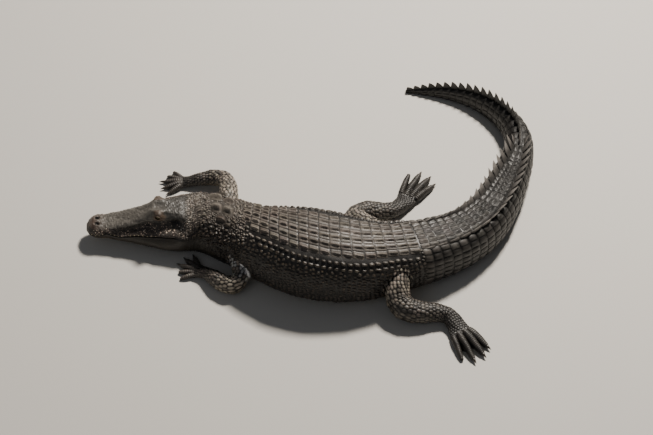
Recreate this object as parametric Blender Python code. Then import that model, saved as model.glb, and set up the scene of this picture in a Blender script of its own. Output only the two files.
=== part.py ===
"""Nile crocodile at rest: a still, life-size model lying on its belly with the tail swung round to its right.

Metres, +Z up, the ground at z = 0. The snout points along -X and the animal's left side faces -Y.
The origin is on the ground under the middle of the belly.
Trunk, head and tail are one loft round the spine, read from the outlines below and parted by thin cuts.
Each limb is a loft round its own centre line, cut off where it meets the trunk.
"""

import math

import bmesh
import bpy
import numpy as np
from mathutils import Vector

# ---- lengths along the spine, from the tip of the snout ----
TOTAL_LENGTH = 3.02
HEAD_END = 0.44
CHEST_START = 0.56
BELLY_START = 0.84
HIPS_START = 1.16
TAIL_START = 1.48
SPINE_ORIGIN = 1.01
WHORLS = 36
WHORLS_PER_TAIL_PIECE = 6
CREST_PEAK = 0.72

GAP = 0.0003
LIMB_SIDES = 10
DIGIT_SIDES = 6
CLAW_SIDES = 6
EYE_RADIUS = 0.0165
EYE_PLACE = 0.315
EYE_OUT = 0.041
EYE_HEIGHT = 0.1755
SOLE_CLEARANCE = 0.0015

# ---- outlines: (distance from the snout, value) ----
HEADING = [(0.000, 3), (0.430, 3), (0.500, -13), (0.570, -28), (0.640, -31), (0.720, -31), (0.860, -22),
           (1.010, -15), (1.160, -5), (1.320, 10), (1.480, 18), (1.600, 26), (1.720, 39), (1.840, 54),
           (1.980, 65), (2.130, 70), (2.280, 81), (2.380, 99), (2.480, 118), (2.600, 135), (2.740, 153),
           (2.880, 169), (3.020, 176)]
HALF_WIDTH = [(0.000, 0.018), (0.012, 0.040), (0.045, 0.055), (0.085, 0.056), (0.130, 0.069),
              (0.200, 0.087), (0.280, 0.112), (0.350, 0.130), (0.420, 0.138), (0.500, 0.139),
              (0.600, 0.140), (0.680, 0.142), (0.760, 0.150), (0.840, 0.168), (0.920, 0.185),
              (1.000, 0.196), (1.080, 0.197), (1.160, 0.190), (1.240, 0.177), (1.340, 0.156),
              (1.460, 0.137), (1.680, 0.118), (1.930, 0.098), (2.200, 0.074), (2.450, 0.052),
              (2.700, 0.034), (2.900, 0.018), (3.020, 0.005)]
TOP = [(0.000, 0.082), (0.030, 0.110), (0.055, 0.114), (0.090, 0.112), (0.160, 0.126), (0.220, 0.142),
       (0.280, 0.159), (0.350, 0.171), (0.430, 0.178), (0.520, 0.198), (0.700, 0.245), (0.850, 0.285),
       (1.000, 0.302), (1.130, 0.298), (1.280, 0.274), (1.460, 0.240), (1.680, 0.210), (1.980, 0.182),
       (2.280, 0.150), (2.600, 0.108), (2.850, 0.060), (3.020, 0.018)]
BOTTOM = [(0.000, 0.056), (0.030, 0.042), (0.150, 0.030), (0.280, 0.016), (0.420, 0.001), (0.500, -0.003),
          (0.600, -0.004), (3.020, -0.004)]
CENTRE = [(0.000, 0.070), (0.100, 0.067), (0.200, 0.067), (0.300, 0.070), (0.420, 0.079), (0.600, 0.096),
          (1.000, 0.135), (1.400, 0.118), (1.800, 0.094), (2.400, 0.060), (3.020, 0.008)]
SQUARE_UP = [(0.0, 2.4), (0.10, 2.2), (0.20, 1.7), (0.30, 1.5), (0.42, 1.75), (0.60, 2.1), (1.2, 2.3), (1.6, 2.7), (2.2, 2.7),
             (2.5, 2.0), (3.02, 2.0)]
SQUARE_DOWN = [(0.0, 2.2), (0.2, 2.6), (0.5, 2.8), (1.6, 3.0), (2.3, 2.6), (3.0, 2.2)]
TABLE_HALF_WIDTH = [(0.090, 0.032), (0.140, 0.044), (0.200, 0.052), (0.250, 0.050), (0.300, 0.054),
                    (0.350, 0.064), (0.410, 0.074), (0.470, 0.076)]
TABLE_TOP = [(0.090, 0.104), (0.140, 0.120), (0.200, 0.143), (0.250, 0.171), (0.300, 0.199),
             (0.345, 0.197), (0.405, 0.193), (0.435, 0.177), (0.470, 0.116)]
TABLE_SQUARENESS = 3.4
CREST_ANGLE = [(0.0, 34), (1.45, 34), (1.90, 29), (2.12, 22), (2.30, 12), (3.02, 12)]
CREST_HALF_BASE = [(0.0, 11), (1.5, 11), (1.9, 8), (2.30, 5), (3.02, 5)]
DOUBLE_CREST = [(1.480, 0.000), (1.630, 0.016), (1.880, 0.038), (2.100, 0.055), (2.240, 0.058),
                (2.310, 0.000)]
SINGLE_CREST = [(2.220, 0.000), (2.310, 0.052), (2.450, 0.058), (2.650, 0.050), (2.880, 0.032),
                (3.020, 0.014)]
MOUTH = [(-0.05, 0.068), (0.0, 0.069), (0.02, 0.073), (0.05, 0.074), (0.088, 0.083), (0.13, 0.080), (0.17, 0.085),
         (0.22, 0.094), (0.28, 0.101), (0.34, 0.109), (0.39, 0.113)]
JAW_ANGLE = 0.425

# ---- limbs: centre line from inside the trunk to the ground, as x, y, z, half width, half height ----
FORE_LEFT = [(-0.330, 0.125, 0.125, 0.050, 0.052), (-0.320, 0.072, 0.122, 0.052, 0.052),
             (-0.304, 0.020, 0.107, 0.047, 0.047), (-0.290, -0.030, 0.085, 0.041, 0.043),
             (-0.292, -0.078, 0.063, 0.037, 0.041), (-0.322, -0.106, 0.049, 0.037, 0.042),
             (-0.368, -0.090, 0.043, 0.037, 0.038), (-0.406, -0.055, 0.037, 0.034, 0.033),
             (-0.440, -0.026, 0.029, 0.029, 0.023), (-0.472, -0.008, 0.019, 0.037, 0.016),
             (-0.502, 0.006, 0.010, 0.043, 0.0085)]
FORE_RIGHT = [(-0.335, 0.210, 0.125, 0.048, 0.050), (-0.350, 0.305, 0.124, 0.046, 0.047),
              (-0.352, 0.370, 0.104, 0.042, 0.043), (-0.357, 0.430, 0.080, 0.038, 0.040),
              (-0.375, 0.476, 0.060, 0.035, 0.038), (-0.410, 0.498, 0.047, 0.035, 0.037),
              (-0.450, 0.502, 0.040, 0.033, 0.033), (-0.490, 0.499, 0.033, 0.029, 0.028),
              (-0.528, 0.497, 0.025, 0.026, 0.020), (-0.558, 0.499, 0.016, 0.033, 0.014),
              (-0.586, 0.501, 0.009, 0.038, 0.0085)]
HIND_LEFT = [(0.364, -0.010, 0.136, 0.070, 0.066), (0.368, -0.070, 0.146, 0.074, 0.070),
             (0.370, -0.122, 0.130, 0.066, 0.064), (0.370, -0.172, 0.102, 0.058, 0.058),
             (0.382, -0.216, 0.074, 0.053, 0.055), (0.416, -0.246, 0.060, 0.052, 0.052),
             (0.470, -0.254, 0.051, 0.048, 0.046), (0.526, -0.250, 0.044, 0.042, 0.040),
             (0.580, -0.256, 0.036, 0.038, 0.034), (0.609, -0.285, 0.027, 0.040, 0.026),
             (0.633, -0.325, 0.018, 0.048, 0.017), (0.656, -0.365, 0.009, 0.056, 0.0075)]
HIND_RIGHT = [(0.320, 0.030, 0.130, 0.070, 0.066), (0.268, 0.100, 0.140, 0.068, 0.064),
              (0.224, 0.158, 0.120, 0.062, 0.060), (0.200, 0.212, 0.094, 0.054, 0.056),
              (0.212, 0.260, 0.070, 0.048, 0.053), (0.252, 0.289, 0.058, 0.050, 0.050),
              (0.296, 0.299, 0.050, 0.045, 0.043), (0.342, 0.310, 0.041, 0.039, 0.036),
              (0.382, 0.336, 0.031, 0.037, 0.029), (0.414, 0.376, 0.022, 0.041, 0.021),
              (0.434, 0.408, 0.015, 0.048, 0.014), (0.452, 0.438, 0.009, 0.054, 0.0075)]
# Where each limb is parted, as a place in its list: above the joint and before the ankle or wrist.
FORE_PARTS = {"upper_arm": (0.0, 3.5), "forearm": (3.5, 7.8), "hand": (7.8, 10.0)}
HIND_PARTS = {"thigh": (0.0, 3.5), "shank": (3.5, 7.8), "foot": (7.8, 11.0)}
# Digits from the inner side outwards: spread in degrees, length, radius at the root, and whether it bears a claw.
FORE_DIGITS = [(42, 0.054, 0.0140, True), (20, 0.066, 0.0150, True), (0, 0.070, 0.0145, True),
               (-20, 0.064, 0.0125, False), (-44, 0.052, 0.0115, False)]
HIND_DIGITS = [(12, 0.098, 0.0175, True), (4, 0.122, 0.0185, True), (-5, 0.125, 0.017, True),
               (-14, 0.106, 0.0145, False)]
CLAW_LENGTH = 0.026

COLOURS = {"hide": (0.105, 0.088, 0.072), "claw": (0.030, 0.026, 0.022), "eye": (0.130, 0.105, 0.040)}
ROUGHNESS = {"hide": 0.62, "claw": 0.40, "eye": 0.15}


def smooth(knots):
    """A curve through the knots that never overshoots them (monotone cubic)."""
    places, values = np.array(knots, float).T
    steps = np.diff(places)
    rises = np.diff(values) / steps
    slopes = np.zeros(len(places))
    same_way = rises[:-1] * rises[1:] > 0
    slopes[1:-1][same_way] = 2 * (rises[:-1] * rises[1:])[same_way] / (rises[:-1] + rises[1:])[same_way]
    slopes[0], slopes[-1] = rises[0], rises[-1]

    def read(place):
        place = np.clip(place, places[0], places[-1])
        i = np.clip(np.searchsorted(places, place, side="right") - 1, 0, len(steps) - 1)
        t = (place - places[i]) / steps[i]
        return (values[i] * (1 + 2 * t) * (1 - t) ** 2 + values[i + 1] * t * t * (3 - 2 * t)
                + steps[i] * t * (1 - t) * (slopes[i] * (1 - t) - slopes[i + 1] * t))

    return read


heading, half_width, top, bottom, centre = map(smooth, (HEADING, HALF_WIDTH, TOP, BOTTOM, CENTRE))
square_up, square_down = smooth(SQUARE_UP), smooth(SQUARE_DOWN)
table_half_width, table_top = smooth(TABLE_HALF_WIDTH), smooth(TABLE_TOP)
crest_angle, crest_half_base = smooth(CREST_ANGLE), smooth(CREST_HALF_BASE)
double_crest, single_crest, mouth = smooth(DOUBLE_CREST), smooth(SINGLE_CREST), smooth(MOUTH)


def walk_spine():
    """Fine places along the spine with their x and y, where SPINE_ORIGIN is at 0, 0."""
    places = np.linspace(0, TOTAL_LENGTH, 3001)
    turn = np.radians(heading(places))
    step = places[1]
    x = np.concatenate([[0], np.cumsum(np.cos(turn[:-1]) * step)])
    y = np.concatenate([[0], np.cumsum(np.sin(turn[:-1]) * step)])
    return places, x - np.interp(SPINE_ORIGIN, places, x), y - np.interp(SPINE_ORIGIN, places, y)


SPINE_PLACES, SPINE_X, SPINE_Y = walk_spine()


def beside_spine(place, left, height):
    """The point at this distance along the spine, this far to the animal's left and this high."""
    turn = math.radians(heading(place))
    x = np.interp(place, SPINE_PLACES, SPINE_X)
    y = np.interp(place, SPINE_PLACES, SPINE_Y)
    return np.stack([x + math.sin(turn) * left, y - math.cos(turn) * left, height + 0 * left], -1)


def oval(angles, half, height, squareness):
    """Radius of a superellipse at these angles from straight up."""
    return (np.abs(np.sin(angles) / half) ** squareness + np.abs(np.cos(angles) / height) ** squareness) ** (-1 / squareness)


def whorl_place(whorl):
    """Where a ring of tail scales starts. The rings get shorter towards the tip."""
    share = whorl / WHORLS
    return TAIL_START + (TOTAL_LENGTH - TAIL_START) * (1.25 * share - 0.25 * share**2)


def whorl_at(place):
    share = np.clip((place - TAIL_START) / (TOTAL_LENGTH - TAIL_START), 0, 1)
    return WHORLS * (1.25 - math.sqrt(1.25**2 - share)) / 0.5


def crest_tooth(place):
    """0.25 in the notch between two crest scales and 1 at a scale's tip, which leans back."""
    along = whorl_at(place) % 1
    rise = along / CREST_PEAK if along < CREST_PEAK else (1 - along) / (1 - CREST_PEAK)
    return 0.25 + 0.75 * rise


def body_ring(place, grow=0.0):
    """The closed ring of points round the body, from the top down its left side and up its right."""
    crest, base = crest_angle(place), crest_half_base(place)
    lower = np.linspace(crest + base, 180, 7)
    left = np.concatenate([[0, crest - base, crest], lower])
    angles = np.radians(np.concatenate([left, 360 - left[-2:0:-1]]))
    up, down = top(place) - centre(place), centre(place) - bottom(place)
    above = np.cos(angles) >= 0
    radius = np.where(above, oval(angles, half_width(place), up, square_up(place)),
                      oval(angles, half_width(place), down, square_down(place)))
    if TABLE_TOP[0][0] < place < TABLE_TOP[-1][0]:
        table = oval(angles, table_half_width(place), table_top(place) - centre(place), TABLE_SQUARENESS)
        radius = np.where(above, (radius**12 + table**12) ** (1 / 12), radius)
    tooth = crest_tooth(place) if place > TAIL_START else 0.0
    if place >= DOUBLE_CREST[0][0]:
        radius[[2, -2]] += double_crest(place) * tooth
    if place >= SINGLE_CREST[0][0]:
        radius[0] += single_crest(place) * tooth
    radius += grow
    height = np.maximum(centre(place) + radius * np.cos(angles), 0.0)
    return beside_spine(place, radius * np.sin(angles), height)


def body_places():
    """Places for the rings of the body: close on the head, wide on the trunk, two to a whorl on the tail."""
    head = np.concatenate([[0.0005, 0.004, 0.010, 0.020], np.arange(0.036, HEAD_END - 0.01, 0.021)])
    trunk = np.arange(HEAD_END + 0.04, TAIL_START - 0.02, 0.045)
    tail = np.array([whorl_place(w + share) for w in range(WHORLS) for share in (0.0, CREST_PEAK)])
    cuts = [HEAD_END, CHEST_START, BELLY_START, HIPS_START, TOTAL_LENGTH]
    trunk = [place for place in trunk if min(abs(place - cut) for cut in cuts) > 0.006]
    return np.unique(np.concatenate([head, trunk, tail, cuts]).round(6))


BODY_PLACES = body_places()


def linked(name, mesh, slot, collection="crocodile"):
    """An object in its collection, shaded smooth, with the slot's material."""
    obj = bpy.data.objects.new(name, mesh)
    bpy.data.collections[collection].objects.link(obj)
    mesh.materials.append(bpy.data.materials[slot])
    mesh.shade_smooth()
    return obj


def loft(name, rings, slot="hide", collection="crocodile"):
    """A closed solid through rings that have the same number of points."""
    shape = bmesh.new()
    rows = [[shape.verts.new(point) for point in ring] for ring in rings]
    count = len(rows[0])
    for row, after in zip(rows, rows[1:]):
        for k in range(count):
            beyond = (k + 1) % count
            shape.faces.new((row[k], row[beyond], after[beyond]))
            shape.faces.new((row[k], after[beyond], after[k]))
    shape.faces.new(rows[0][::-1])
    shape.faces.new(rows[-1])
    bmesh.ops.recalc_face_normals(shape, faces=shape.faces)
    mesh = bpy.data.meshes.new(name)
    shape.to_mesh(mesh)
    shape.free()
    return linked(name, mesh, slot, collection)


def combine(obj, other, operation):
    """Cuts obj with other, keeps what both share, or joins them. The other object is used up."""
    step = obj.modifiers.new(operation, "BOOLEAN")
    step.operation = operation
    step.object = other
    mesh = bpy.data.meshes.new_from_object(obj.evaluated_get(bpy.context.evaluated_depsgraph_get()))
    obj.modifiers.clear()
    spent = obj.data
    obj.data = mesh
    bpy.data.meshes.remove(spent)
    bpy.data.objects.remove(other)


def body_loft(name, start, end, grow=0.0, collection="crocodile"):
    inside = BODY_PLACES[(BODY_PLACES >= start - 1e-6) & (BODY_PLACES < end - 2 * GAP)]
    rings = [body_ring(place, grow) for place in [*inside, end]]
    return loft(name, rings, collection=collection)


def jaw_block(grow):
    """All that lies under the line of the mouth, as a block to cut the head with."""
    places = np.concatenate([[-0.03, 0.0], np.arange(0.0071, MOUTH[-1][0], 0.0127), [MOUTH[-1][0]]])
    line = [(place, mouth(place) + grow) for place in places]
    outline = line + [(JAW_ANGLE + grow, 0.020), (JAW_ANGLE + grow, -0.03), (-0.03, -0.03)]
    side = 0.2
    rings = [[beside_spine(max(place, 0.0), np.array(left), height) + Vector((min(place, 0.0), 0, 0))
              for place, height in outline] for left in (-side, side)]
    return loft("jaw_block", rings, collection="cutters")


def ball(name, point, radius, slot, collection="crocodile"):
    shape = bmesh.new()
    bmesh.ops.create_uvsphere(shape, u_segments=10, v_segments=7, radius=radius)
    bmesh.ops.translate(shape, verts=shape.verts, vec=point)
    mesh = bpy.data.meshes.new(name)
    shape.to_mesh(mesh)
    shape.free()
    return linked(name, mesh, slot, collection)


def make_head():
    """Head, lower jaw and eyes."""
    head = body_loft("head", 0.0, HEAD_END - GAP)
    jaw = body_loft("lower_jaw", 0.0, HEAD_END - GAP)
    combine(head, jaw_block(GAP), "DIFFERENCE")
    combine(jaw, jaw_block(0.0), "INTERSECT")
    for side, name in ((1, "left"), (-1, "right")):
        point = beside_spine(EYE_PLACE, np.array(side * EYE_OUT), EYE_HEIGHT)
        combine(head, ball("socket", point, EYE_RADIUS + GAP, "eye", "cutters"), "DIFFERENCE")
        ball(f"eye_{name}", point, EYE_RADIUS, "eye")


def make_trunk_and_tail():
    cuts = {"neck": (HEAD_END, CHEST_START), "chest": (CHEST_START, BELLY_START),
            "belly": (BELLY_START, HIPS_START), "hips": (HIPS_START, TAIL_START)}
    for name, (start, end) in cuts.items():
        body_loft(name, start, end - GAP)
    for number, whorl in enumerate(range(0, WHORLS, WHORLS_PER_TAIL_PIECE), 1):
        end = whorl_place(whorl + WHORLS_PER_TAIL_PIECE)
        body_loft(f"tail_{number}", round(whorl_place(whorl), 6), end - (GAP if end < TOTAL_LENGTH else 0.0))


def between(stations, place):
    """A limb's centre, half width and half height at a place in its list, on a smooth (Catmull-Rom) curve."""
    table = np.array(stations)
    padded = np.concatenate([[2 * table[0] - table[1]], table, [2 * table[-1] - table[-2]]])
    i = min(int(place), len(table) - 2)
    t = place - i
    a, b, c, d = padded[i : i + 4]
    return b + 0.5 * t * (c - a + t * (2 * a - 5 * b + 4 * c - d + t * (3 * (b - c) + d - a)))


def limb_ring(stations, place, sides, end_gap=0.0, lowest=0.0, shrink=1.0):
    """An oval ring across a limb. Its lower points rest flat on the ground."""
    here = between(stations, place)
    along = between(stations, min(place + 0.02, len(stations) - 1)) - between(stations, max(place - 0.02, 0))
    forward = Vector(along[:3]).normalized()
    side = forward.cross(Vector((0, 0, 1))).normalized()
    up = side.cross(forward)
    middle = Vector(here[:3]) - forward * end_gap
    ring = []
    for k in range(sides):
        turn = 2 * math.pi * k / sides
        point = middle + (side * here[3] * math.cos(turn) + up * here[4] * math.sin(turn)) * shrink
        ring.append((point.x, point.y, max(point.z, lowest)))
    return ring


def limb_piece(name, stations, start, end, lowest=0.0):
    places = np.linspace(start, end, max(3, round((end - start) * 2.4)))
    rings = [limb_ring(stations, place, LIMB_SIDES, GAP if place == end else 0.0, lowest) for place in places]
    return loft(name, rings)


def digit_stations(root, turn, length, radius):
    """A digit that arches over its knuckle and comes down to the ground."""
    way = Vector((math.cos(turn), math.sin(turn), 0))
    shape = [(-0.15, 0.9, 1.00), (0.15, 1.2, 1.05), (0.45, 1.15, 0.95), (0.75, 0.85, 0.85), (1.0, 0.62, 0.62)]
    return [(*(root + way * length * along)[:2], radius * height, radius * thick, radius * min(thick, height))
            for along, height, thick in shape]


def claw(name, stations):
    """A curved horn on the end of a digit. Its root lies flat against the digit's end."""
    last = len(stations) - 1
    rings = [limb_ring(stations, last, CLAW_SIDES, -GAP, shrink=0.86)]
    root = sum((Vector(point) for point in rings[0]), Vector()) / CLAW_SIDES
    way = Vector((between(stations, last) - between(stations, last - 0.02))[:3])
    way.z = 0
    way.normalize()
    side = way.cross(Vector((0, 0, 1)))
    size = stations[last][3] * 0.86
    for share, thick in ((0.35, 0.78), (0.7, 0.45), (1.0, 0.08)):
        middle = root + way * CLAW_LENGTH * share
        middle.z += size * (0.5 * share - 1.25 * share**2)
        turns = [2 * math.pi * k / CLAW_SIDES for k in range(CLAW_SIDES)]
        points = [middle + side * size * thick * 0.8 * math.cos(t) + Vector((0, 0, size * thick * math.sin(t))) for t in turns]
        rings.append([(p.x, p.y, max(p.z, 0.0)) for p in points])
    loft(name, rings, "claw")


def make_extremity(name, limb, stations, start, digits, mirror):
    """A hand or foot: the palm narrows to a thin web, and the digits are joined to it."""
    palm = limb_piece(name, stations, start, len(stations) - 1, SOLE_CLEARANCE)
    wrist, front = np.array(stations[-3]), np.array(stations[-1])
    heading_out = math.atan2(*(front - wrist)[1::-1])
    web = len(digits) == len(HIND_DIGITS)
    for number, (spread, length, radius, clawed) in enumerate(digits, 1):
        turn = heading_out + math.radians(spread) * mirror
        sideways = Vector((-math.sin(heading_out), math.cos(heading_out), 0))
        root = Vector(front[:3]) - Vector((math.cos(heading_out), math.sin(heading_out), 0)) * 0.018
        root += sideways * mirror * spread / abs(digits[0][0]) * front[3] * (0.66 if web else 0.60)
        line = digit_stations(root, turn, length, radius)
        rings = [limb_ring(line, place, DIGIT_SIDES) for place in np.linspace(0, len(line) - 1, 5)]
        combine(palm, loft("digit", rings, collection="cutters"), "UNION")
        if clawed:
            claw(f"claw_{limb}_{number}", line)


def make_limb(limb, stations, parts, digits, mirror):
    names = list(parts)
    for name in names[:2]:
        piece = limb_piece(f"{name}_{limb}", stations, *parts[name])
        combine(piece, body_loft("body_grown", CHEST_START - 0.2, TAIL_START + 0.2, GAP, "cutters"), "DIFFERENCE")
    make_extremity(f"{names[2]}_{limb}", limb, stations, parts[names[2]][0], digits, mirror)


def prepare():
    """An empty scene with the materials and collections."""
    for obj in list(bpy.data.objects):
        bpy.data.objects.remove(obj)
    for name in ("crocodile", "cutters"):
        collection = bpy.data.collections.new(name)
        bpy.context.scene.collection.children.link(collection)
    bpy.data.collections["cutters"].hide_render = True
    for slot, colour in COLOURS.items():
        material = bpy.data.materials.new(slot)
        material.use_nodes = True
        shader = material.node_tree.nodes["Principled BSDF"]
        shader.inputs["Base Color"].default_value = (*colour, 1)
        shader.inputs["Roughness"].default_value = ROUGHNESS[slot]
        material.diffuse_color = (*colour, 1)


def main():
    prepare()
    make_head()
    make_trunk_and_tail()
    make_limb("fore_left", FORE_LEFT, FORE_PARTS, FORE_DIGITS, -1)
    make_limb("fore_right", FORE_RIGHT, FORE_PARTS, FORE_DIGITS, 1)
    make_limb("hind_left", HIND_LEFT, HIND_PARTS, HIND_DIGITS, 1)
    make_limb("hind_right", HIND_RIGHT, HIND_PARTS, HIND_DIGITS, -1)


main()
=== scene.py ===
"""Nile crocodile at rest: the finished look laid over the crocodile's solid pieces.

One skin replaces the pieces of flesh. It lies inside their outline by the depth of the coat, and the coat is
solid scales of several kinds laid on it row by row: keeled plates on the back, tiles on belly and tail,
pebbles on flanks, neck and legs, and blades along the tail. All of it is laid on a few surfaces. Each surface
turns a place along it and a place across it, both in metres, into a point.
"""

import math
from types import SimpleNamespace

import bpy
import numpy as np
from bpy.props import FloatProperty, FloatVectorProperty, PointerProperty
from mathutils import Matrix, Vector
from mathutils.bvhtree import BVHTree
from mathutils.kdtree import KDTree


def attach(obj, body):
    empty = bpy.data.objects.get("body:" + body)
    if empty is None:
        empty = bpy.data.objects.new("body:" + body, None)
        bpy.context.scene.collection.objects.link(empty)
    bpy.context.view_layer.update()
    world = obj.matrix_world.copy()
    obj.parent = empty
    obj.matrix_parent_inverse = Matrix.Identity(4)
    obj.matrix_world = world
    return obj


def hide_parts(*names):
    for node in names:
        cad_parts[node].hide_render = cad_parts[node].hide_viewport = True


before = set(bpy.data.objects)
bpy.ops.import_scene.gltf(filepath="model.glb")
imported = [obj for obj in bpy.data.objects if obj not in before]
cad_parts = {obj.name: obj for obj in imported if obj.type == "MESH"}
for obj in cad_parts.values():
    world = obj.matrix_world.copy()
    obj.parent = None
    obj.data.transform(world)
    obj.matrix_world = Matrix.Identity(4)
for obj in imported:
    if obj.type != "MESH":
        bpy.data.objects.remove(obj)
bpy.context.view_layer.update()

bl_info = {
    "name": "Nile crocodile",
    "version": (1, 0, 0),
    "blender": (4, 5, 0),
    "location": "3D View > Sidebar > Crocodile",
    "description": "Builds the skin, scales, eyes, claws and stage of a resting Nile crocodile",
    "category": "Add Mesh",
}

MM = 1000

# ---- the body's outline: distance from the snout along the spine in millimetres, and a value in millimetres,
# in degrees for an angle, and without a unit for the squareness of an oval ----
TOTAL_LENGTH = 3.02
TAIL_START = 1.48
SPINE_ORIGIN = 1.01
WHORLS = 36
CREST_PEAK = 0.72
HEADING = [(0, 3), (430, 3), (500, -13), (570, -28), (640, -31), (720, -31), (860, -22), (1010, -15),
           (1160, -5), (1320, 10), (1480, 18), (1600, 26), (1720, 39), (1840, 54), (1980, 65), (2130, 70),
           (2280, 81), (2380, 99), (2480, 118), (2600, 135), (2740, 153), (2880, 169), (3020, 176)]
HALF_WIDTH = [(0, 18), (12, 40), (45, 55), (85, 56), (130, 69), (200, 87), (280, 112), (350, 130),
              (420, 138), (500, 139), (600, 140), (680, 142), (760, 150), (840, 168), (920, 185),
              (1000, 196), (1080, 197), (1160, 190), (1240, 177), (1340, 156), (1460, 137), (1680, 118),
              (1930, 98), (2200, 74), (2450, 52), (2700, 34), (2900, 18), (3020, 5)]
TOP = [(0, 82), (30, 110), (55, 114), (90, 112), (160, 126), (220, 142), (280, 159), (350, 171), (430, 178),
       (520, 198), (700, 245), (850, 285), (1000, 302), (1130, 298), (1280, 274), (1460, 240), (1680, 210),
       (1980, 182), (2280, 150), (2600, 108), (2850, 60), (3020, 18)]
BOTTOM = [(0, 56), (30, 42), (150, 30), (280, 16), (420, 1), (500, -3), (600, -4), (3020, -4)]
CENTRE = [(0, 70), (100, 67), (200, 67), (300, 70), (420, 79), (600, 96), (1000, 135), (1400, 118),
          (1800, 94), (2400, 60), (3020, 8)]
SQUARE_UP = [(0, 2.4), (100, 2.2), (200, 1.7), (300, 1.5), (420, 1.75), (600, 2.1), (1200, 2.3), (1600, 2.7),
             (2200, 2.7), (2500, 2), (3020, 2)]
SQUARE_DOWN = [(0, 2.2), (200, 2.6), (500, 2.8), (1600, 3), (2300, 2.6), (3000, 2.2)]
TABLE_HALF_WIDTH = [(90, 32), (140, 44), (200, 52), (250, 50), (300, 54), (350, 64), (410, 74), (470, 76)]
TABLE_TOP = [(90, 104), (140, 120), (200, 143), (250, 171), (300, 199), (345, 197), (405, 193), (435, 177),
             (470, 116)]
TABLE_SQUARENESS, TABLE_START, TABLE_END = 3.4, 0.090, 0.470
CREST_ANGLE = [(0, 34), (1450, 34), (1900, 29), (2120, 22), (2300, 12), (3020, 12)]
DOUBLE_CREST = [(1480, 0), (1630, 16), (1880, 38), (2100, 55), (2240, 58), (2310, 0)]
SINGLE_CREST = [(2220, 0), (2310, 52), (2450, 58), (2650, 50), (2880, 32), (3020, 14)]
MOUTH = [(-50, 68), (0, 69), (20, 73), (50, 74), (88, 83), (130, 80), (170, 85), (220, 94), (280, 101),
         (340, 109), (390, 113)]
EYE_RADIUS, EYE_PLACE, EYE_OUT, EYE_HEIGHT = 0.0165, 0.315, 0.041, 0.1755
LID_RADIUS, LID_BLEND = EYE_RADIUS + 0.0068, 0.0035
OPENING_HALF_LENGTH, OPENING_HALF_HEIGHT = 0.0128, 0.0062

# ---- limbs: centre line as x, y, z, half width, half height, in millimetres ----
LIMBS = {
    "fore_left": [(-330, 125, 125, 50, 52), (-320, 72, 122, 52, 52), (-304, 20, 107, 47, 47),
                  (-290, -30, 85, 41, 43), (-292, -78, 63, 37, 41), (-322, -106, 49, 37, 42),
                  (-368, -90, 43, 37, 38), (-406, -55, 37, 34, 33), (-440, -26, 29, 29, 23),
                  (-472, -8, 19, 37, 16), (-502, 6, 10, 43, 8.5)],
    "fore_right": [(-335, 210, 125, 48, 50), (-350, 305, 124, 46, 47), (-352, 370, 104, 42, 43),
                   (-357, 430, 80, 38, 40), (-375, 476, 60, 35, 38), (-410, 498, 47, 35, 37),
                   (-450, 502, 40, 33, 33), (-490, 499, 33, 29, 28), (-528, 497, 25, 26, 20),
                   (-558, 499, 16, 33, 14), (-586, 501, 9, 38, 8.5)],
    "hind_left": [(364, -10, 136, 70, 66), (368, -70, 146, 74, 70), (370, -122, 130, 66, 64),
                  (370, -172, 102, 58, 58), (382, -216, 74, 53, 55), (416, -246, 60, 52, 52),
                  (470, -254, 51, 48, 46), (526, -250, 44, 42, 40), (580, -256, 36, 38, 34),
                  (609, -285, 27, 40, 26), (633, -325, 18, 48, 17), (656, -365, 9, 56, 7.5)],
    "hind_right": [(320, 30, 130, 70, 66), (268, 100, 140, 68, 64), (224, 158, 120, 62, 60),
                   (200, 212, 94, 54, 56), (212, 260, 70, 48, 53), (252, 289, 58, 50, 50),
                   (296, 299, 50, 45, 43), (342, 310, 41, 39, 36), (382, 336, 31, 37, 29),
                   (414, 376, 22, 41, 21), (434, 408, 15, 48, 14), (452, 438, 9, 54, 7.5)],
}
LIMBS = {name: np.array(stations) / MM for name, stations in LIMBS.items()}
MIRROR = {"fore_left": -1, "fore_right": 1, "hind_left": 1, "hind_right": -1}
# how many times lighter than a dark spot the foot and its toes are; the near forefoot's high number is painted
# light, standing in for light where the head's shade falls on it
FOOT_TONES = {"fore_left": (4.5, 4.5), "fore_right": (2.4, 2.4), "hind_left": (1.1, 0.75),
              "hind_right": (1.1, 0.75)}
# digits from the inner side outwards: spread in degrees, length, root radius, and whether it has a claw
DIGITS = {
    "fore": [(42, 0.054, 0.0140, True), (20, 0.066, 0.0150, True), (0, 0.070, 0.0145, True),
             (-20, 0.064, 0.0125, False), (-44, 0.052, 0.0115, False)],
    "hind": [(12, 0.098, 0.0175, True), (4, 0.122, 0.0185, True), (-5, 0.125, 0.017, True),
             (-14, 0.106, 0.0145, False)],
}
CLAW_LENGTH = 0.026
# teeth: place along and length in millimetres
TEETH = np.array([(22, 6.5), (38, 8), (54, 6.5), (68, 5), (104, 5), (120, 6), (137, 8), (154, 10), (171, 9),
                  (188, 6), (206, 5.5), (224, 6), (243, 6), (262, 5), (281, 4.5), (299, 4)]) / MM
FLOOR_CLEARANCE = 0.0004
FOOT_DEPTH = 0.0015  # how deep a scale's foot stands in the skin
FEEL = 0.0012  # how far round a place a surface is read to find which way it faces
CAP_LENGTH = 0.02  # how far beyond its ends a flat sheet runs, to be drawn together there
BODY_UNWRAP, LIMB_UNWRAP = 0.47, 0.40  # lengths on the unwrap for a metre of surface
rng = np.random.default_rng(36)


# ======== curves and surfaces ========

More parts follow.
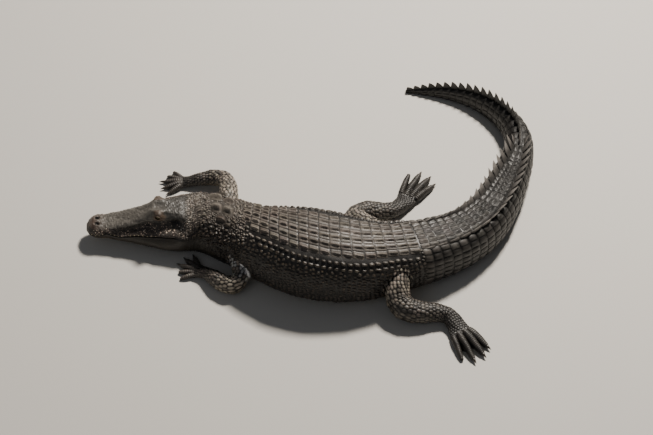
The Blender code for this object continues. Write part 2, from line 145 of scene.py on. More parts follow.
def smooth(knots, per=MM):
    """A curve through the knots that never overshoots them (monotone cubic).

    A knot is a place and a value, both in millimetres, or the value as it is where per is 1. The curve that
    comes back works in metres.
    """
    places, values = np.array(knots, float).T
    places, values = places / MM, values / per
    steps = np.diff(places)
    rises = np.diff(values) / steps
    slopes = np.zeros(len(places))
    same_way = rises[:-1] * rises[1:] > 0
    slopes[1:-1][same_way] = 2 * (rises[:-1] * rises[1:])[same_way] / (rises[:-1] + rises[1:])[same_way]
    slopes[0], slopes[-1] = rises[0], rises[-1]

    def read(place):
        place = np.clip(place, places[0], places[-1])
        i = np.clip(np.searchsorted(places, place, side="right") - 1, 0, len(steps) - 1)
        t = (place - places[i]) / steps[i]
        return (values[i] * (1 + 2 * t) * (1 - t) ** 2 + values[i + 1] * t * t * (3 - 2 * t)
                + steps[i] * t * (1 - t) * (slopes[i] * (1 - t) - slopes[i + 1] * t))

    return read


heading, crest_angle, square_up, square_down = (smooth(knots, 1) for knots in
                                                (HEADING, CREST_ANGLE, SQUARE_UP, SQUARE_DOWN))
half_width, top, bottom, centre, mouth = map(smooth, (HALF_WIDTH, TOP, BOTTOM, CENTRE, MOUTH))
table_half_width, table_top, double_crest, single_crest = map(
    smooth, (TABLE_HALF_WIDTH, TABLE_TOP, DOUBLE_CREST, SINGLE_CREST))
# the height where bone gives way to cheek, the roll and slant of the forebody, and the cheek's upper edge
brim = smooth([(0, 92), (50, 102), (90, 104), (150, 115), (200, 127), (250, 143), (300, 156), (340, 162),
               (420, 166), (470, 150)])
twist = smooth([(440, -4), (550, -42), (700, -40), (800, -30), (950, -10), (1100, 0)])
slant = smooth([(440, 0), (540, 0.48), (800, 0.44), (1000, 0.28), (1200, 0.10), (1400, 0)], 1)
cheek_edge = smooth([(420, 0.36), (470, 0.40), (520, 0.48), (580, 0.60), (640, 0.74)], 1)


def step(low, high, value):
    """0 below low, 1 above high, smooth between."""
    t = np.clip((value - low) / (high - low), 0, 1)
    return t * t * (3 - 2 * t)


def hump(value, middle, reach):
    """1 at the middle, falling away smoothly over about this reach."""
    return np.exp(-(((value - middle) / reach) ** 2))


def unit(vectors):
    return vectors / np.maximum(np.linalg.norm(vectors, axis=-1, keepdims=True), 1e-12)


def ripples(points, size, seed):
    """Smooth random swells from -1 to 1 about this far apart, from a few crossed waves."""
    waves = np.random.default_rng(seed)
    ways = unit(waves.normal(size=(9, 3))) * 2 * math.pi / size * waves.uniform(0.7, 1.5, (9, 1))
    starts = waves.uniform(0, 2 * math.pi, 9)
    return np.sin(points @ ways.T + starts).sum(-1) / 4.2


def swells(points, *layers):
    """Ripples of several sizes added up, each given as its height, size and seed."""
    return sum(height * ripples(points, size, seed) for height, size, seed in layers)


def walk_spine():
    """Fine places along the spine with their x and y, where SPINE_ORIGIN is at 0, 0."""
    places = np.linspace(0, TOTAL_LENGTH, 3021)
    turn = np.radians(heading(places))
    x = np.concatenate([[0], np.cumsum(np.cos(turn[:-1]) * places[1])])
    y = np.concatenate([[0], np.cumsum(np.sin(turn[:-1]) * places[1])])
    return places, x - np.interp(SPINE_ORIGIN, places, x), y - np.interp(SPINE_ORIGIN, places, y)


SPINE_PLACES, SPINE_X, SPINE_Y = walk_spine()


def beside_spine(place, left, height):
    """Points this far along the spine, this far to the animal's left and this high."""
    turn = np.radians(heading(place))
    x = np.interp(place, SPINE_PLACES, SPINE_X)
    y = np.interp(place, SPINE_PLACES, SPINE_Y)
    return np.stack([x + np.sin(turn) * left, y - np.cos(turn) * left, height + 0 * left], -1)


def oval(angles, half, height, squareness):
    """Radius of a superellipse at these angles from straight up."""
    total = np.abs(np.sin(angles) / half) ** squareness + np.abs(np.cos(angles) / height) ** squareness
    return total ** (-1 / squareness)


def section(place, angle):
    """How far left and how high the body's outline is at this place, this many radians round from the top."""
    up, down = top(place) - centre(place), centre(place) - bottom(place)
    above = np.cos(angle) >= 0
    radius = np.where(above, oval(angle, half_width(place), up, square_up(place)),
                      oval(angle, half_width(place), down, square_down(place)))
    table = oval(angle, table_half_width(place), table_top(place) - centre(place), TABLE_SQUARENESS)
    on_head = (place > TABLE_START) & (place < TABLE_END) & above
    radius = np.where(on_head, (radius**12 + table**12) ** (1 / 12), radius)
    return radius * np.sin(angle), np.maximum(centre(place) + radius * np.cos(angle), 0.0)


def measure_girth():
    """Tables that turn a place across the body, in metres from the top line, into an angle."""
    places = np.linspace(0, TOTAL_LENGTH, 756)
    angles = np.linspace(0, math.pi, 241)
    left, height = section(places[:, None], angles[None, :])
    arcs = np.concatenate([np.zeros((len(places), 1)),
                           np.cumsum(np.hypot(np.diff(left), np.diff(height)), axis=1)], axis=1)
    shares = np.linspace(0, 1, 241)
    table = np.stack([np.interp(shares, arc / arc[-1], angles) for arc in arcs])
    return places, arcs[:, -1], table


GIRTH_PLACES, HALF_GIRTHS, ANGLE_TABLE = measure_girth()


def half_girth(place):
    return np.interp(place, GIRTH_PLACES, HALF_GIRTHS)


def angle_across(place, across):
    """The angle round from the top that is this far across, in metres, at this place along the body."""
    rows, columns = ANGLE_TABLE.shape
    share = np.clip(np.abs(across) / half_girth(place), 0, 1) * (columns - 1)
    row = np.clip(place / TOTAL_LENGTH, 0, 1) * (rows - 1)
    i, j = np.minimum(row.astype(int), rows - 2), np.minimum(share.astype(int), columns - 2)
    v, u = row - i, share - j
    angle = ((ANGLE_TABLE[i, j] * (1 - u) + ANGLE_TABLE[i, j + 1] * u) * (1 - v)
             + (ANGLE_TABLE[i + 1, j] * (1 - u) + ANGLE_TABLE[i + 1, j + 1] * u) * v)
    return np.sign(across) * angle


def across_at_height(place, height):
    """How far across the body's side is at this height."""
    found = []
    for p, h in zip(np.atleast_1d(place), np.atleast_1d(height)):
        across = np.linspace(0, 1, 241) * half_girth(p)
        _, heights = section(p, angle_across(np.full(241, p), across))
        found.append(across[np.argmax(heights < h)])
    return np.array(found)


# ======== the head's forms ========
# name: place, out, height, then its reach along, out and up, then its push along, out and up, in millimetres
HEAD_FORMS = {
    "behind the nose": (100, 56, 98, 30, 20, 24, 0, 6, 2),
    "nose pad": (40, 16, 112, 20, 18, 16, 0, 0, 2),
    "nostril": (46, 16, 113, 11, 7, 14, 0, 0, -14),
    "nostril rim": (38, 19, 112, 12, 11, 12, 0, 0, 5),
    "dip behind the nose": (74, 0, 114, 18, 22, 20, 0, 0, -2.5),
    "side of the nose": (50, 50, 90, 20, 18, 16, 0, 2, 0),
    "notch for the long tooth": (84, 52, 84, 8, 14, 12, 0, -3.5, 0),
    "snout dip": (150, 0, 126, 45, 16, 20, 0, 0, -3.5),
    "snout ridge": (175, 34, 128, 55, 8, 12, 0, 1, 4),
    "cheek of the snout": (160, 68, 92, 26, 18, 16, 0, 4.5, 0),
    "side of the snout": (225, 68, 118, 50, 16, 16, 0, -6, 0),
    "dip before the eye": (252, 52, 146, 26, 12, 16, 0, -5, -3),
    "ridge to the eye": (250, 42, 156, 36, 8, 14, 0, 2, 5),
    "forehead dip": (262, 0, 170, 28, 24, 20, 0, 0, -6),
    "between the eyes": (310, 0, 199, 36, 18, 22, 0, 0, -11),
    "brow": (312, 42, 199, 30, 18, 20, 0, 7, 11),
    "mound of the eye": (322, 60, 176, 27, 16, 15, 0, 11, 6),
    "fold under the eye": (318, 78, 150, 30, 12, 8, 0, -8, 0),
    "back of the brow": (347, 54, 190, 10, 16, 14, 0, -4, -6),
    "ear slit": (380, 76, 160, 28, 14, 9, 0, -15, 0),
    "ear flap": (378, 76, 180, 32, 12, 7, 0, 5, -1),
    "corner of the skull": (420, 70, 182, 16, 16, 14, 7, 4, 4),
    "middle of the skull": (380, 0, 192, 36, 32, 20, 0, 0, -5),
    "below the eye": (330, 84, 134, 30, 12, 14, 0, -7, 0),
    "hollow behind the eye": (385, 92, 140, 36, 14, 14, 0, -8, -3),
    "cheekbone": (330, 104, 122, 50, 14, 8, 0, 6, 2),
    "corner of the jaw": (412, 130, 110, 24, 20, 20, 0, 6, 0),
    "hollow behind the skull": (455, 0, 160, 12, 50, 30, 0, 0, 1.5),
    "side of the throat": (360, 120, 50, 70, 20, 20, 0, 5, 0),
}
GAZE = unit(np.array([-0.22, 0.90, 0.36]))  # along the body towards the tail, out to the side, up


def eye_axes():
    """Directions at an eye, as along, out and up: towards the nose, over the lid, and out of the pupil."""
    nose = unit(np.cross([0.0, 0.0, 1.0], GAZE))
    return nose, np.cross(GAZE, nose), GAZE


def lids(along, out, height):
    """Lays the skin over an eyeball as two lids with an opening between."""
    nose, over, gaze = eye_axes()
    from_eye = np.stack([along - EYE_PLACE, out - EYE_OUT, height - EYE_HEIGHT], -1)
    x, y, z = from_eye @ nose, from_eye @ over, from_eye @ gaze
    reach = x * x + y * y
    in_front = (z > -0.012) & (out > 0)
    near = (reach < LID_RADIUS**2) & in_front
    ball = np.sqrt(np.maximum(LID_RADIUS**2 - reach, 0))
    merged = 0.5 * (z + ball + np.sqrt((z - ball) ** 2 + LID_BLEND**2))
    lifted = np.where(near, merged - 0.0004, z)
    bow = np.maximum(1 - (x / OPENING_HALF_LENGTH) ** 2, 0)
    middle = -0.0010 + 0.0008 * (x / OPENING_HALF_LENGTH)
    inside = (np.abs(x) < OPENING_HALF_LENGTH) & in_front
    gap = np.where(inside, OPENING_HALF_HEIGHT * bow - np.abs(y - middle), -1)
    lifted = lifted + 0.0012 * hump(gap, 0, 0.0016) * inside * (gap < 0.0006)
    hidden = np.sqrt(np.maximum(EYE_RADIUS**2 - reach, 0)) - 0.0022
    opened = step(0.0, 0.0009, gap)
    lifted = lifted * (1 - opened) + np.minimum(hidden, lifted) * opened
    fold = 0.0105 * np.sqrt(np.maximum(bow, 0.05))
    lifted = lifted - 0.0010 * hump(y, fold, 0.0013) * near * (x**2 < 0.0002)
    moved = (lifted - z)[..., None] * gaze
    return along + moved[..., 0], out + moved[..., 1], height + moved[..., 2]


def shape_head(along, left, height):
    """Moves points of the plain outline into the head's brows, lids, nostrils, hollows and ridges."""
    out = np.abs(left)
    move = np.zeros((3,) + np.shape(out))
    for form in HEAD_FORMS.values():
        at, off, up, reach_along, reach_out, reach_up, *push = np.array(form) / MM
        near = hump(along, at, reach_along) * hump(out, off, reach_out) * hump(height, up, reach_up)
        move += near * np.reshape(push, (3,) + (1,) * np.ndim(out))
    along, out, height = lids(along + move[0], np.maximum(out + move[1], 0), height + move[2])
    return along, np.where(left < 0, -1.0, 1.0) * out, height


def head_relief(along, left, height, point):
    """How far rough bone, lumpy cheeks and the sharp edge of the snout stand out; the eyes stay smooth."""
    over = height - brim(along)
    before_neck = 1 - step(0.43, 0.46, along)
    bone = step(-0.004, 0.004, over) * before_neck * step(0.02, 0.05, along)
    rough = swells(point, (0.0008, 0.021, 31), (0.0006, 0.010, 32), (0.0005, 0.0060, 33))
    flesh = step(0.004, -0.004, over) * step(-0.002, 0.008, height - mouth(along)) * before_neck
    lumps = swells(point, (0.0012, 0.015, 34), (0.0009, 0.0078, 35))
    ridge = step(0.07, 0.12, along) * (1 - step(0.33, 0.37, along)) * step(0.012, 0.026, np.abs(left))
    edge = 0.0045 * hump(over, 0.002, 0.0065) - 0.0050 * hump(over, -0.018, 0.012)
    eye = hump(along, EYE_PLACE, 0.026) * step(0.026, 0.036, np.abs(left))
    return (bone * rough + flesh * lumps + ridge * edge) * (1 - 0.85 * eye)


class Surface:
    """Something that scales are laid on. Places are metres along it, and metres across from its top line."""

    def lay(self, along, across, lift):
        """Points this far out from the surface."""
        outward = unit(np.cross(self.point(along, across + FEEL) - self.point(along, across - FEEL),
                                self.point(along + FEEL, across) - self.point(along - FEEL, across)))
        return self.point(along, across) + outward * np.asarray(lift)[..., None]


class Body(Surface):
    name = "body"

    def half(self, along):
        return half_girth(along)

    def lie(self, along, across):
        """The forebody's rows are rolled a little to the right and slanted, as the animal leans."""
        rolled = across + twist(along) * (1 - np.abs(across) / half_girth(along)) * step(0.44, 0.50, along)
        return along + slant(along) * np.clip(across, -0.15, 0.15), rolled

    def point(self, along, across):
        """A place past the belly's middle line comes up on the other side."""
        along = np.asarray(along, float)
        across = np.asarray(across, float) + 0 * along
        past = np.abs(across) - half_girth(along)
        across = np.where(past > 0, np.sign(across) * (np.abs(across) - 2 * half_girth(along)), across)
        left, height = section(along, angle_across(along, across))
        head = (along < 0.50).any()
        if head:
            fade = 1 - step(0.46, 0.50, along)
            shaped = shape_head(along, left, height)
            along, left, height = (a + (b - a) * fade for a, b in zip((along, left, height), shaped))
        point = beside_spine(along, left, height)
        relief = head_relief(along, left, height, point) if head else 0 * along
        swell = 0.0016 * step(0.42, 0.6, along) * (1 - 0.7 * step(1.6, 2.6, along))
        folds = 0.0008 * hump(along, 0.52, 0.09) * np.sin(along * 2 * math.pi / 0.034)
        side = np.abs(np.sin(angle_across(along, across)))
        loose = ripples(point, 0.09, 5) * swell + folds * side
        out = unit(point - beside_spine(along, 0 * left, centre(along)))
        return point + out * (loose * step(0.0, 0.03, height) + relief)[..., None]

    def unwrap(self, along, across, island):
        """Three strips, for head and neck, trunk, and tail, all at one scale."""
        strips = np.array([(0.0, 0.49, 0.62), (0.52, 0.01, 0.67), (TAIL_START - 0.02, 0.01, 0.20)])
        start, u, v = np.moveaxis(strips[island], -1, 0)
        return np.stack([u + (along - start) * BODY_UNWRAP, v + across * BODY_UNWRAP], -1)

    def island(self, along):
        return (along > 0.56).astype(int) + (along > TAIL_START)


class Limb(Surface):
    """A limb or a digit: ovals across a smooth line. A station is its x, y, z, half width and half height."""

    def __init__(self, name, stations, corner):
        self.name, self.table, self.corner = name, np.array(stations), np.array(corner)
        self.is_digit = name not in LIMBS
        self.limb = name.rpartition("_")[0] if self.is_digit else name
        last = len(stations) - 1
        self.line = self.between(np.linspace(0, last, last * 24 + 1))
        path = self.line[:, :3]
        self.runs = np.concatenate([[0], np.cumsum(np.linalg.norm(np.diff(path, axis=0), axis=1))])
        self.length = self.runs[-1]
        self.ways = unit(np.gradient(path, axis=0))
        self.sides = unit(np.cross(self.ways, [0, 0, 1]))
        self.ups = np.cross(self.sides, self.ways)

    def between(self, place):
        """Centre, half width and half height at a place in the list, on a Catmull-Rom curve."""
        rows = self.table
        padded = np.concatenate([[2 * rows[0] - rows[1]], rows, [2 * rows[-1] - rows[-2]]])
        i = np.minimum(place.astype(int), len(rows) - 2)
        t = (place - i)[:, None]
        a, b, c, d = (padded[i + n] for n in range(4))
        return b + 0.5 * t * (c - a + t * (2 * a - 5 * b + 4 * c - d + t * (3 * (b - c) + d - a)))

    def read(self, table, along):
        return np.stack([np.interp(along, self.runs, column) for column in table.T], -1)

    def girth(self, along):
        return math.pi * self.read(self.line[:, 3:], along).sum(-1)

    def half(self, along):
        return self.girth(along) / 2

    def point(self, along, across):
        along = np.clip(np.asarray(along, float), 0, self.length)
        line, side, up = (self.read(t, along) for t in (self.line, self.sides, self.ups))
        angle = across / self.girth(along) * 2 * math.pi
        sin, cos = np.sin(angle)[..., None], np.cos(angle)[..., None]
        point = line[..., :3] + side * line[..., 3:4] * sin + up * line[..., 4:] * cos
        knobs = 0.0016 * ripples(point, 0.055, 8) * np.minimum(line[..., 3] / 0.03, 1)
        return above_floor(point + (side * sin + up * cos) * knobs[..., None])

    def lay(self, along, across, lift):
        return above_floor(Surface.lay(self, along, across, lift))

    def lie(self, along, across):
        return along, across

    def unwrap(self, along, across, island):
        return self.corner + np.stack([along, across], -1) * LIMB_UNWRAP

    def island(self, along):
        return np.zeros(np.shape(along), int)


def above_floor(points, clearance=FLOOR_CLEARANCE):
    """The same points, none of them lower than this."""
    points[..., 2] = np.maximum(points[..., 2], clearance)
    return points


def digit_stations(root, turn, length, radius):
    """A digit that arches over its knuckle and comes down to the ground."""
    way = Vector((math.cos(turn), math.sin(turn), 0))
    shape = [(-0.15, 0.9, 1.00), (0.15, 1.2, 1.05), (0.45, 1.15, 0.95), (0.75, 0.85, 0.85), (1.0, 0.62, 0.62)]
    return [(*(root + way * length * along)[:2], radius * height, radius * thick, radius * min(thick, height))
            for along, height, thick in shape]


def digits_of(limb):
    """The stations of each digit of a limb, and whether it bears a claw."""
    kind, mirror = limb[:4], MIRROR[limb]
    wrist, front = LIMBS[limb][-3], LIMBS[limb][-1]
    ahead = math.atan2(*(front - wrist)[1::-1])
    forward = Vector((math.cos(ahead), math.sin(ahead), 0))
    sideways = Vector((-math.sin(ahead), math.cos(ahead), 0))
    widest, fan = DIGITS[kind][0][0], 0.66 if kind == "hind" else 0.60
    lines = []
    for spread, length, radius, clawed in DIGITS[kind]:
        root = Vector(front[:3]) - forward * 0.018
        root += sideways * mirror * spread / widest * front[3] * fan
        lines.append((digit_stations(root, ahead + math.radians(spread) * mirror, length, radius), clawed))
    return lines


BODY = Body()
LIMB_CORNERS = {"fore_left": (0.48, 0.93), "fore_right": (0.72, 0.93), "hind_left": (0.76, 0.74),
                "hind_right": (0.76, 0.53)}
LIMB_SURFACES = {name: Limb(name, stations, LIMB_CORNERS[name]) for name, stations in LIMBS.items()}
DIGIT_SURFACES = {limb: [Limb(f"{limb}_{n}", line, (0.76 + 0.06 * n, 0.22 + 0.055 * list(LIMBS).index(limb)))
                         for n, (line, clawed) in enumerate(digits_of(limb))] for limb in LIMBS}


def depth_of_coat(surface, along, across):
    """How far the skin lies inside the outline, which is how deep the coat is there."""
    thinnest = 0.0012
    if surface is not BODY:
        thick = 0.010 if surface.is_digit else surface.read(surface.line[:, 4:], along)[..., 0]
        return thinnest + 0.0018 * np.minimum(thick, 0.030) / 0.030 + 0 * across
    back = 1 - step(0.10, 0.14, np.abs(across))
    trunk = 0.0035 + 0.0045 * back * step(0.50, 0.60, along) * (1 - step(1.40, 1.55, along))
    tail = 0.0045 - 0.0030 * step(1.6, 2.9, along)
    depth = thinnest + (trunk - thinnest) * step(0.42, 0.52, along)
    return depth + (tail - depth) * step(1.45, 1.6, along)


def on_skin(surface, along, across):
    return surface.lay(along, across, -depth_of_coat(surface, along, across))


# ======== colours ========

def linear(hex_colour):
    """A colour written as sRGB hex, as the linear numbers that Blender works in."""
    parts = [int(hex_colour[i:i + 2], 16) / 255 for i in (1, 3, 5)]
    return tuple(p / 12.92 if p <= 0.04045 else ((p + 0.055) / 1.055) ** 2.4 for p in parts)


COLOURS = {
    "back": ("#746c64", "The worn tops of the back plates"),
    # gap is near-black: the painted shade between scales, in the nostrils and in the hollow behind the eye,
    # and also the colour of the dark mottles and blotches
    "gap": ("#15110f", "The bare skin between scales"),
    # flank is the sides' dark olive-brown, made darker still as painted shade on the sides
    "flank": ("#2e261f", "The scales of the sides"),
    "flank_tip": ("#665a49", "The rubbed tips of the keels on the sides"),
    "belly": ("#a89c80", "The belly tiles"),
    "skull": ("#65615b", "The top of the head"),
    "cheek": ("#554c45", "The side of the snout and the cheeks"),
    # jaw and throat are their own olive-brown, darkened further as painted shade under the head
    "jaw": ("#2a251d", "The lower jaw"),
    "throat": ("#564d3d", "The underside of the jaw and neck"),
    "leg": ("#9a9084", "The light scales of the legs"),
    "leg_spot": ("#1d1a18", "The dark spots on the legs"),
    "tail": ("#45423f", "The top of the tail"),
    # tail_side and tail_end are partly the tail's own darker colour and partly painted shade on its sides and
    # far end
    "tail_side": ("#24211e", "The sides of the tail"),
    "tail_end": ("#100e0c", "The last third of the tail"),
    "crest": ("#8a8580", "The blades along the tail"),
    "claw": ("#2c2621", "The claws"),
    "tooth": ("#b0a588", "The teeth"),
    "iris": ("#7d7040", "The iris"),
}


class CrocodileColours(bpy.types.PropertyGroup):
    """The colours of a crocodile's hide."""
    __annotations__ = {name: FloatVectorProperty(name=name.replace("_", " ").capitalize(), description=words,
                                                 subtype="COLOR", size=3, min=0, max=1, default=linear(value))
                       for name, (value, words) in COLOURS.items()}


# name: label, description, default, lowest and highest in metres
SIZES = {
    "plate_row": ("Back plate length", "Distance from one row of plates to the next", 0.0462, 0.03, 0.08),
    "plate_column": ("Back plate width", "Distance between the keels of the back", 0.0400, 0.02, 0.06),
    "keel": ("Keel height", "Height of a back plate's keel above the skin", 0.0140, 0.002, 0.020),
    "flank_scale": ("Flank scale", "Distance between scales on the sides", 0.0175, 0.008, 0.03),
    "belly_tile": ("Belly tile", "Distance from one row of belly tiles to the next", 0.0250, 0.015, 0.04),
    "leg_scale": ("Leg scale", "Distance between scales on the legs", 0.0185, 0.006, 0.03),
    "cheek_scale": ("Cheek scale", "Distance between scales on the cheeks", 0.0066, 0.004, 0.012),
}


class CrocodileSizes(bpy.types.PropertyGroup):
    """The sizes of a crocodile's scales."""
    __annotations__ = {name: FloatProperty(name=label, description=words, default=size, min=low, max=high,
                                           unit="LENGTH")
                       for name, (label, words, size, low, high) in SIZES.items()}


LID_TINT, NOSE_TINT, TAIL_TINT = map(np.array, ((1.12, 0.97, 0.84), (1.2, 0.95, 0.85), (0.92, 1.0, 1.12)))


def tints():
    """The colours of the hide as the sidebar has them."""
    colours = bpy.context.scene.crocodile_colours
    return {name: np.array(getattr(colours, name)) for name in COLOURS}


def blend(a, b, share):
    return a + (b - a) * np.asarray(share)[..., None]


def markings(surface, along, across, point):
    """The hide's colour at these places: (the scales' colour, the colour of the skin between them as painted
    shade).
    """
    along, across = np.broadcast_arrays(np.asarray(along, float), np.asarray(across, float))
    if surface is BODY:
        return body_markings(along, across, point, tints())
    return limb_markings(surface, along, across, point, tints())


def limb_markings(surface, along, across, point, c):
    """Light scales with dark spots, a paler underside, darker shanks, feet and toes, and painted light on the
    near foreleg.
    """
    fore = surface.limb[:4] == "fore"
    foot_tone, toe_tone = FOOT_TONES[surface.limb]
    end = along / surface.length
    spots = step(0.05, 0.40, ripples(point, 0.038, 23) + 0.35 * ripples(point, 0.015, 24))
    if not surface.is_digit:
        spots = np.clip(spots + 0.5 * step(0.30, 0.50, end) - 0.25, 0, 1)
    colour = blend(c["leg"], c["leg_spot"], 0.80 * spots)
    if surface.is_digit:
        colour = blend(colour, c["leg_spot"] * toe_tone, 0.94)
        return colour, colour * 0.10
    under = step(0.25, 0.75, np.abs(across) / surface.half(along))
    colour = blend(colour, c["belly"] * 0.8, under * (0.4 if fore else 0.5))
    shank, foot = (0.0, 0.9) if fore else (0.65, 0.30)
    dark = shank * step(0.25, 0.50, end) + foot * step(0.60, 0.85, end)
    colour = blend(colour, c["leg_spot"] * foot_tone, dark)
    # painted light: the near foreleg is painted up to 2.6 times lighter towards the shoulder, where the neck
    # shades it
    if surface.limb == "fore_left":
        colour = np.minimum(colour * (1 + 1.6 * (1 - step(0.35, 0.60, end)))[..., None], 0.42)
    return colour, colour * 0.10


def trunk_colour(at, c):
    """Worn plates on the back, blotched flanks darkened partly as painted shade, and a pale belly."""
    back = c["back"] * (1 - 0.28 * step(0.80, 1.05, at.along))[..., None]
    back = blend(back, c["gap"] * 1.5, 0.30 * step(0.2, 0.9, at.mottle) + 0.12 * step(0.2, 1.0, at.fine))
    tips = 0.22 * (1 - step(0.30, 0.55, at.share)) + 0.16 * step(0.1, 0.9, at.fine)
    blotch = 0.55 * step(0.25, 0.55, ripples(at.point, 0.050, 25))
    flank = blend(blend(c["flank"], c["flank_tip"], tips), c["gap"],
                  np.clip(0.35 * step(0.3, 1.0, at.mottle) + blotch, 0, 0.8))
    # the flank colour on the sides is partly painted shade
    colour = blend(back, flank, step(0.105, 0.150, at.out))
    return blend(c["belly"], colour, step(0.0, 0.05, at.height) * (1 - 0.5 * step(0.70, 0.95, at.share)))


def neck_colour(at, c):
    """Brown on the nape, paler on the throat, and dark on the jowl and sides, partly as painted shade."""
    nape = blend(c["back"] * 0.86, c["flank"], step(0.04, 0.12, at.out + 0.02 * at.mottle))
    neck = blend(nape, c["throat"], 1 - step(0.02, 0.06, at.height))
    jowl = blend(c["jaw"] * 0.9, c["flank"], step(0.50, 0.60, at.along))
    return np.where((at.cheek & (at.along < 0.60))[..., None], jowl, neck)


def head_colour(at, c):
    """Bone above the brim and cheeks below it, warmer lids and nose, painted shade under the ridge and in
    hollows, and the lower jaw.
    """
    speck = ripples(at.point, 0.012, 41)
    lid_tint, nose_tint = LID_TINT * c["cheek"], NOSE_TINT * c["cheek"]
    specks = 0.55 * step(0.1, 0.9, speck) + 0.25 * step(0.2, 0.9, at.mottle)
    bone = blend(c["skull"], c["skull"] * 0.55, specks)
    bone = blend(bone, bone * 0.34, step(0.27, 0.37, at.along))
    bone = blend(bone, c["cheek"] * 1.1, 0.85 * (1 - step(0.045, 0.10, at.along)))
    lid = hump(at.along, EYE_PLACE, 0.024) * step(0.020, 0.032, at.out) * (1 - step(0.075, 0.09, at.out))
    bone = blend(bone, lid_tint * 0.85, 0.90 * step(0.25, 0.6, lid))
    bone = blend(bone, nose_tint * 0.9, 0.8 * (1 - step(0.020, 0.055, at.along)))
    side = blend(c["cheek"] * 0.75, c["cheek"] * 1.5, step(-0.2, 1.0, at.fine + speck * 0.6))
    # painted shade: the cheek is darkened below the ridge of the snout, where the ridge shades it
    painted_shade_under_ridge = step(-0.034, -0.006, at.height - brim(at.along)) * step(0.08, 0.14, at.along)
    head = blend(side * (1 - 0.72 * painted_shade_under_ridge)[..., None], bone, at.over)
    # painted shade: the nostrils are painted almost black
    nostril = hump(at.along, 0.046, 0.0110) * hump(at.out, 0.0165, 0.0070)
    head = blend(head, c["gap"] * 0.4, step(0.35, 0.75, nostril))
    # painted shade: the hollow behind the eye is painted dark
    temple = hump(at.along, 0.395, 0.042) * hump(at.height, 0.144, 0.015)
    head = blend(head, c["gap"] * 0.8, 0.9 * step(0.3, 0.8, temple))
    by_eye = hump(at.along, EYE_PLACE + 0.003, 0.030) * hump(at.height, 0.179, 0.019)
    by_eye = by_eye * step(0.044, 0.052, at.out)
    head = blend(head, lid_tint * 1.2, 0.85 * step(0.25, 0.6, by_eye))
    # the jaw and throat colours are darkened partly as painted shade under the head
    jaw = blend(c["throat"], c["jaw"], step(0.012, 0.035, at.height - bottom(at.along)))
    jaw = blend(jaw, c["gap"] * 1.5, 0.30 * step(0.2, 0.9, at.fine))
    return np.where(at.below[..., None], jaw, head)


def tail_colour(at, c):
    """Darker towards its end, with dark bands on its sides and a pale underside; its sides and far end are
    partly painted shade.
    """
    upper = blend(c["tail"], TAIL_TINT * c["tail"] * 0.62, 0.7 * step(0.0, 0.8, at.fine + 0.4 * at.mottle))
    upper = upper * (1 - 0.72 * step(1.50, 1.95, at.along))[..., None]
    # painted shade, partly: the sides are darker than the top
    side = c["tail_side"] * (1 - 0.3 * step(1.6, 2.0, at.along))[..., None]
    tail = blend(upper, side, step(0.22, 0.30, at.share))
    tail = blend(tail, c["belly"] * 0.75, step(0.80, 0.95, at.share) * 0.8 * (1 - step(1.9, 2.5, at.along)))
    # painted shade, partly: the far end turns near-black, its top a little less
    on_top = (1 - step(0.10, 0.24, at.share)) * (1 - step(2.4, 2.8, at.along))
    bands = step(0.1, 0.7, np.sin(at.along * 2 * math.pi / 0.27 + 0.8 * at.mottle))
    dark = step(1.95, 2.45, at.along) * (0.97 - 0.25 * on_top)
    dark = dark + 0.30 * bands * step(1.5, 1.7, at.along) * step(0.2, 0.3, at.share)
    return blend(tail, c["tail_end"], np.clip(dark, 0, 0.97))


def body_markings(along, across, point, c):
    """The colours of head, neck, trunk and tail, run into each other, and the skin between their scales as
    painted shade.
    """
    out = np.abs(across)
    at = SimpleNamespace(along=along, out=out, share=out / half_girth(along), point=point,
                         height=point[..., 2], mottle=ripples(point, 0.10, 21), fine=ripples(point, 0.035, 22))
    at.cheek = at.share > cheek_edge(along) + 0.02
    at.below = at.height < mouth(along)
    ear = hump(along, 0.385, 0.030) * step(0.064, 0.072, at.out)
    at.over = step(-0.003, 0.003, at.height - brim(along) + 0.0015 * at.fine) * (1 - step(0.5, 1.0, ear))
    colour = blend(neck_colour(at, c), trunk_colour(at, c), step(0.60, 0.74, along))
    colour = blend(head_colour(at, c), colour, step(0.425, 0.445, along))
    colour = blend(colour, tail_colour(at, c), step(1.40, 1.56, along))
    # painted shade: the skin between scales is painted far darker than the scales, less so on the nape and
    # jowl
    dark = 0.65 * step(0.42, 0.5, along) * (1 - step(0.8, 0.95, at.share))
    gap = blend(colour * 0.12, c["gap"] * 0.7, dark)
    nape = step(0.430, 0.450, along) * (1 - step(0.66, 0.70, along)) * (1 - step(0.085, 0.12, at.out))
    gap = blend(gap, colour * 0.42, nape)
    jowl = at.cheek & (along > 0.42) & (along < 0.62) & (at.share < 0.97)
    gap = np.where(jowl[..., None], colour * 0.5, gap)
    bare = np.where(at.below, 0.7, np.where(at.over > 0.5, 1.0, 0.55))
    return colour, blend(gap, colour, (1 - step(0.42, 0.445, along)) * bare)


# ======== shapes of one scale: u along, v across, w up from the skin; the foot is below it ========

def grid_faces(rows, columns):
    """The faces of a grid of points, and the numbers of the points round its rim."""
    at = np.arange((rows + 1) * (columns + 1)).reshape(rows + 1, columns + 1)
    faces = [(at[i, j], at[i + 1, j], at[i + 1, j + 1], at[i, j + 1])
             for i in range(rows) for j in range(columns)]
    return faces, [*at[:-1, 0], *at[-1, :-1], *at[:0:-1, -1], *at[0, :0:-1]]


def tube_faces(rings, around):
    """The faces between rings of points that follow each other."""
    return [(a + k, a + (k + 1) % around, a + around + (k + 1) % around, a + around + k)
            for a in range(0, (rings - 1) * around, around) for k in range(around)]


def tip_faces(first, around, tip):
    """The faces from one ring of points to a single point."""
    return [(first + k, first + (k + 1) % around, tip) for k in range(around)]


